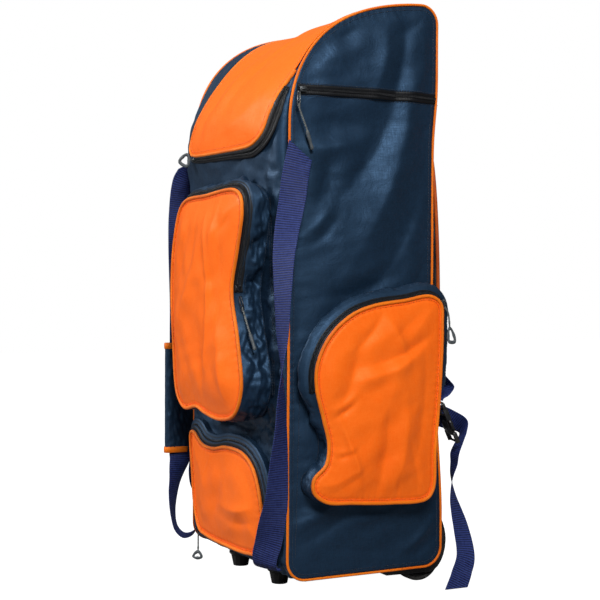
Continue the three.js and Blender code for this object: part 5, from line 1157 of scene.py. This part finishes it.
# Back panel and base: a navy panel with 8 mm of foam behind it, which keeps the bag straight against the
# wearer, and a moulded board that stiffens the base.
back_up = even(back_line, 240)
back_ways = edge_ways(back_up, False)
back_ways *= np.sign(back_ways[:, :1] + 1e-9)
back_x = np.linspace(-181.7, 181.7, 110)
back_reach = np.minimum(181.7 - np.abs(back_x)[None, :], np.minimum(np.arange(len(back_up)), np.arange(len(back_up))[::-1])[:, None] * 4.0)
quilt = 2.2 * np.abs(np.sin(math.pi * back_x / 121))[None, :] ** 0.5
back_out = (0.6 + quilt + crumple(back_x[None, :] + 0 * back_reach, np.arange(len(back_up))[:, None] * 4.0 + 0 * back_reach, 51,
                                  (30, 90), 0.9)) * (1 - np.exp(-(back_reach / 14) ** 2))
back_points = np.concatenate([(back_x[None, :] + 0 * back_reach)[..., None],
                              back_up[:, None] + back_ways[:, None] * back_out[..., None]], -1)
back = lay_mesh("back_pad", back_points, grid_faces(*back_reach.shape), navy_cloth,
                np.stack([back_x[None, :] + 0 * back_reach, np.arange(len(back_up))[:, None] * 4.0 + 0 * back_reach], -1), 0.006)
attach(back, "bag")
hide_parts("back_panel")
black_moulded = moulded_finish("black moulded plastic", (12, 12, 14), (44, 45, 48), (0.32, 0.5), grain=700.0, deep=0.0001)
tyre_rubber = moulded_finish("wheel rubber", (14, 14, 15), (52, 50, 48), (0.6, 0.8), grain=500.0, deep=0.00015)
axle_steel = moulded_finish("axle steel", (120, 120, 122), (170, 170, 170), (0.25, 0.4), 1.0)


def finish_node(node, material):
    shown = bpy.data.objects[node]
    shown.data.materials.clear()
    shown.data.materials.append(material)


finish_node("base_board", black_moulded)

# Shoulder straps: foam pads under black mesh, bound with amber tape, that come out of the back panel below
# the crown. Slim webbing joins each pad's foot by a side-release buckle to a loose tail at the bag's foot.
def mesh_finish():
    material, tree, shader, where = new_finish("black spacer mesh")
    holes = tree.nodes.new("ShaderNodeTexVoronoi")
    plug(tree, holes.inputs["Vector"], placed(tree, where["UV"], (1, 0.7, 1), 0.4))
    holes.inputs["Scale"].default_value = 420.0
    hole = ramp(tree, holes.outputs["Distance"], 0.1, 0.45)
    handled = use_group(tree, wear_group, Vector=where["Object"], Size=1.5)
    plug(tree, shader.inputs["Base Color"], tint(tree, hole, colour(5, 5, 7), colour(30, 31, 36)))
    plug(tree, shader.inputs["Roughness"], ramp(tree, handled["Rubbed"], 0.0, 1.0, 0.6, 0.8))
    raise_by(tree, shader, sum_of(tree, "MULTIPLY_ADD", hole, 0.0004, sum_of(tree, "MULTIPLY", handled["Creases"], 0.001)))
    return material


black_mesh = mesh_finish()
# The shoulder bindings get a darker copy of the amber bias tape. Its darkness is painted shadow for bindings that lie
# in shade at the back.
shadow_painted_tape = bias_finish("bias tape darkened as painted shadow", (140, 52, 2), (178, 78, 6))
back_y = lambda z: np.interp(z, *(back_line[np.argsort(back_line[:, 1])][:, ::-1].T)) + 1.0
pad_rows = np.array([(0.335, 0.15, 0.92), (0.454, 0.2, 0.865), (0.638, 0.4, 0.784), (0.757, 0.35, 0.712),
                     (0.805, 0.5, 0.62), (0.815, 0.72, 0.52), (0.815, 0.6, 0.4)])
pad_middle = even(round_curve(np.c_[pad_rows[:, 0] * 185, back_y(pad_rows[:, 2] * 944.5) + 11 * (pad_rows[:, 1] + 0.5),
                                    pad_rows[:, 2] * 944.5], 600, False), 150)
pad_way = np.gradient(pad_middle, axis=0)
pad_way /= np.linalg.norm(pad_way, axis=1)[:, None]
pad_wide = np.cross((0, 1, 0), pad_way)
pad_wide /= np.linalg.norm(pad_wide, axis=1)[:, None]
pad_face = np.cross(pad_way, pad_wide)
pad_turn = np.linspace(0, 2 * math.pi, 44, endpoint=False)
pad_foot = pad_middle[-1]


def slim_rows(rows, side, floor_z=None):
    placed_rows = [[side * (pad_foot[0] + r[0] * 38), pad_foot[1] + r[1] * 38, pad_foot[2] + r[2] * 38,
                    *(list(r[3:]) + [0])[:2]] for r in rows]
    if floor_z is not None:
        placed_rows[-1][2] = floor_z
    return placed_rows


def buckle(name, node, top, foot, wide_turn, side):
    """A side-release buckle: a socket with open sides, two sprung prongs in it and a bar at each end."""
    top, foot = np.array(top, float), np.array(foot, float)
    long = np.linalg.norm(foot - top)
    wide = np.array((side * math.sin(wide_turn), math.cos(wide_turn), 0))
    f = frame_from(foot - top, np.cross(foot - top, wide) * (1 if side > 0 else -1))
    at = lambda u, v, w=0.0: top + np.array((u * long, v, w)) @ f
    block = lambda size, place, off=1.2: rounded_block(size, off, place, f, 3)
    parts = [block((24, 33, 9.5), at(0.56, 0)), block((7, 44, 8.5), at(0.405, 0), 2.0), block((9, 30, 7), at(0.74, 0), 1.6)]
    for v in (-1, 1):
        parts.append(block((20, 4.0, 9.0), at(0.3, v * 20.0), 1.6))
        parts.append(rod([at(0.42, v * 17.5), at(0.52, v * 22.0), at(0.64, v * 20.6), at(0.7, v * 15.0)], [2.6, 3.4, 3.0, 2.0], 10))
        parts.append(block((19, 3.6, 7.5), at(0.88, v * 19.6), 1.4))
    for u, thick in ((0.03, 2.3), (0.2, 2.0), (0.82, 2.2), (0.98, 2.2)):
        parts.append(rod([at(u, -20.5), at(u, 0), at(u, 20.5)], thick, 10, 0.85))
    parts += [block((12, 3.4, 6), at(0.12, v * 20.5), 1.2) for v in (-1, 1)]
    parts += [block((11, 1.4, 1.2), at(0.57, v, 5.0), 0.5) for v in (-6, 0, 6)]
    made = lay_mesh(name, *joined(parts), black_moulded)
    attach(made, "bag")
    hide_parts(node)


for label, side in (("right", 1), ("left", -1)):
    flip = np.array((side, 1, 1))
    swell = 1 + 0.10 * np.sin(np.linspace(0, 9, 150))[:, None]
    ring_w = np.sign(np.cos(pad_turn)) * np.abs(np.cos(pad_turn)) ** 0.62 * 30.2
    ring_n = np.sign(np.sin(pad_turn)) * np.abs(np.sin(pad_turn)) ** 0.8 * 5.3
    folds = crumple(ring_w[None, :] + 0 * swell, np.arange(150)[:, None] * 3.6 + 0 * ring_w[None, :], 61, (18, 50), 0.7)
    pad_points = pad_middle[:, None] + pad_wide[:, None] * ring_w[None, :, None] + \
        pad_face[:, None] * (ring_n[None, :] * swell + folds * (np.abs(np.sin(pad_turn)) > 0.3))[..., None]
    pad = lay_mesh(f"shoulder_pad_{label}_foam", (pad_points * flip).reshape(-1, 3),
                   grid_faces(150, 44, round_cols=True, flip=side < 0) + [
                       list(range(44))[::-side], list(range(149 * 44, 150 * 44))[::side]], black_mesh,
                   np.stack([ring_w[None, :] + 0 * swell, np.arange(150)[:, None] * 3.6 + 0 * ring_w[None, :]], -1).reshape(-1, 2))
    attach(pad, "bag")
    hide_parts(f"shoulder_pad_{label}")
    left_edge, right_edge = pad_middle - pad_wide * 31.5, pad_middle + pad_wide * 31.5
    round_foot = [pad_foot + pad_wide[-1] * 31.5 * math.cos(t) * (1 if abs(math.cos(t)) < 1 else 1) + pad_way[-1] * 3.3
                  for t in np.linspace(math.pi, 0, 12)[1:-1]]
    edge = np.vstack([left_edge, round_foot, right_edge[::-1]]) * flip
    binding = grow(f"shoulder_binding_{label}_tape", [edge], corded, Radius=0.0031, Cloth=shadow_painted_tape)
    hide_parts(f"shoulder_binding_{label}")
    webbing(f"pad_strap_{label}", f"pad_webbing_{label}", slim_rows([
        (0, 0, -0.175, 90), (0.08, 0.22, -0.72, 90), (0.24, 0.6, -1.2, 88), (0.39, 0.76, -1.5, 88), (0.5, 0.5, -1.8, 94),
        (0.64, 0.12, -1.96, 100), (0.69, 0.07, -2.04, 105)], side), 38.0, 1.6, side)
    webbing(f"tail_strap_{label}", f"tail_webbing_{label}", slim_rows([
        (-0.06, 0.12, -2.76, 90, 76), (-0.035, 0.5, -2.8, 90, 72), (0.08, 1.2, -3.05, 92, 58), (0.22, 1.72, -3.32, 96, 42),
        (0.6, 1.45, -3.62, 102, 24), (0.84, 1.1, -3.95, 102, 10), (0.95, 0.82, -4.4, 102), (1.05, 0.72, -4.8, 106),
        (1.15, 0.54, -5.35, 118), (1.32, 0.5, -6.2, 138), (1.5, 0.56, -6.8, 152), (1.75, 0.62, -7.5, 164),
        (2.2, 0.55, -8.6, 172), (2.4, 0.22, -9.3, 178), (2.5, -0.1, -9.9, 182)], side, 1.6), 38.0, 1.6,
        side)
    ends = slim_rows([(0.7, 0.08, -2.08), (0.87, 0.84, -3.86)], side)
    buckle(f"buckle_{label}_body", f"buckle_{label}", ends[0][:3], ends[1][:3], math.radians(105), side)

# Running gear: two rubber wheels on steel pins in moulded housings at the back corners, and two rubber feet
# under the front, so that the bag stands upright and rolls when it is tipped back.
wheel_middle = np.array((153.0, 118.0, 39.51))


def lathed(section, steps=72):
    """Turns a closed section of radius and x about the x axis."""
    turn = np.linspace(0, 2 * math.pi, steps, endpoint=False)
    points = np.array([[(x, r * math.cos(t), r * math.sin(t)) for r, x in section] for t in turn])
    return points.reshape(-1, 3), grid_faces(steps, len(section), True, True)


tyre = [(33.5, -10.5), (36.5, -11.6), (38.6, -11.2), (39.8, -9.4), (40, -7.6), (39.1, -7.0), (39.1, -5.8), (40, -5.2),
        (40, -0.9), (39.1, -0.5), (39.1, 0.5), (40, 0.9), (40, 5.2), (39.1, 5.8), (39.1, 7.0), (40, 7.6), (39.8, 9.4),
        (38.6, 11.2), (36.5, 11.6), (33.5, 10.5), (32.6, 8.0), (32.6, -8.0)]
hub = [(4.4, -11.4), (8.6, -11.4), (9.6, -10.2), (10.2, -6.0), (28.0, -5.4), (30.4, -8.6), (32.4, -8.8), (33.4, -7.6),
       (33.4, 7.6), (32.4, 8.8), (30.4, 8.6), (28.0, 5.4), (10.2, 6.0), (9.6, 10.2), (8.6, 11.4), (4.4, 11.4)]
for label, side in (("right", 1), ("left", -1)):
    middle = wheel_middle * (side, 1, 1)
    points, faces = lathed(tyre)
    rubber = lay_mesh(f"wheel_{label}_tyre", points + middle, faces, tyre_rubber)
    spokes = [rounded_block((3.2, 19.5, 13.6), 0.8, middle + 19.5 * np.array((0, math.cos(t), math.sin(t))),
                            np.array([(0, -math.sin(t), math.cos(t)), (0, math.cos(t), math.sin(t)), (1, 0, 0)]))
              for t in np.arange(6) * math.pi / 3 + 0.3]
    points, faces = lathed(hub)
    centre = lay_mesh(f"wheel_{label}_hub", *joined([(points + middle, faces), *spokes]), black_moulded)
    for piece, paint in ((rubber, "wheel_rubber"), (centre, "black_plastic")):
        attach(piece, f"{label}_wheel")
        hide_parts(f"wheel_{label}")
    finish_node(f"wheel_housing_{label}", black_moulded)
    finish_node(f"axle_{label}", axle_steel)
    finish_node(f"foot_{label}", tyre_rubber)

# Floor, lights and camera
floor_mesh = bpy.data.meshes.new("floor")
floor_mesh.from_pydata([(-6, -6, 0), (6, -6, 0), (6, 6, 0), (-6, 6, 0)], [], [(0, 1, 2, 3)])
floor = bpy.data.objects.new("floor", floor_mesh)
bpy.context.scene.collection.objects.link(floor)
floor_paint, floor_tree, floor_shader, _ = new_finish("pale floor")
floor_shader.inputs["Base Color"].default_value = (0.2, 0.2, 0.2, 1)
floor_shader.inputs["Roughness"].default_value = 0.9
floor_shader.inputs["Emission Color"].default_value = (1, 1, 1, 1)
floor_tree.links.new(floor_tree.nodes.new("ShaderNodeLightPath").outputs["Is Camera Ray"],
                     floor_shader.inputs["Emission Strength"])
floor_mesh.materials.append(floor_paint)

scene = bpy.context.scene
scene.view_settings.view_transform = "Standard"
# The backdrop is white to the camera but gives the bag only a soft fill, so that its folds are shaded.
sky = bpy.data.worlds.new("studio")
sky.use_nodes = True
sky_out, fill = sky.node_tree.nodes["World Output"], sky.node_tree.nodes["Background"]
white, rays, either = (sky.node_tree.nodes.new("ShaderNode" + kind) for kind in ("Background", "LightPath", "MixShader"))
for node, strength in ((fill, 0.09), (white, 1.0)):
    node.inputs["Color"].default_value, node.inputs["Strength"].default_value = (1, 1, 1, 1), strength
sky.node_tree.links.new(rays.outputs["Is Camera Ray"], either.inputs[0])
sky.node_tree.links.new(fill.outputs[0], either.inputs[1])
sky.node_tree.links.new(white.outputs[0], either.inputs[2])
sky.node_tree.links.new(either.outputs[0], sky_out.inputs["Surface"])
scene.world = sky
for name, place, aim, size, power in (
        ("side softbox", (3.2, -1.2, 2.6), (0, 0, 0.5), 1.3, 158), ("front softbox", (-1.5, -3.2, 2.3), (0, 0, 0.5), 1.4, 120),
        ("top softbox", (-0.4, 0.6, 3.6), (0, 0, 0.5), 1.2, 40)):
    lamp = bpy.data.lights.new(name, "AREA")
    lamp.shape, lamp.size, lamp.energy = "DISK", size, power
    light = bpy.data.objects.new(name, lamp)
    light.location = place
    light.rotation_mode = "QUATERNION"
    light.rotation_quaternion = (Vector(aim) - Vector(place)).to_track_quat("-Z", "Y")
    scene.collection.objects.link(light)

lens = bpy.data.cameras.new("camera")
lens.sensor_width, lens.lens = 36, 80.195
camera = bpy.data.objects.new("camera", lens)
right, up, back = ((0.46341317, 0.88612441, 0.00563608), (-0.02167972, 0.00497897, 0.99975257),
                   (0.88587709, -0.4634207, 0.02151825))
camera.matrix_world = Matrix(((right[0], up[0], back[0], 2.027), (right[1], up[1], back[1], -1.083 + 0.003554),
                              (right[2], up[2], back[2], 0.5115), (0, 0, 0, 1)))
scene.collection.objects.link(camera)
scene.camera = camera
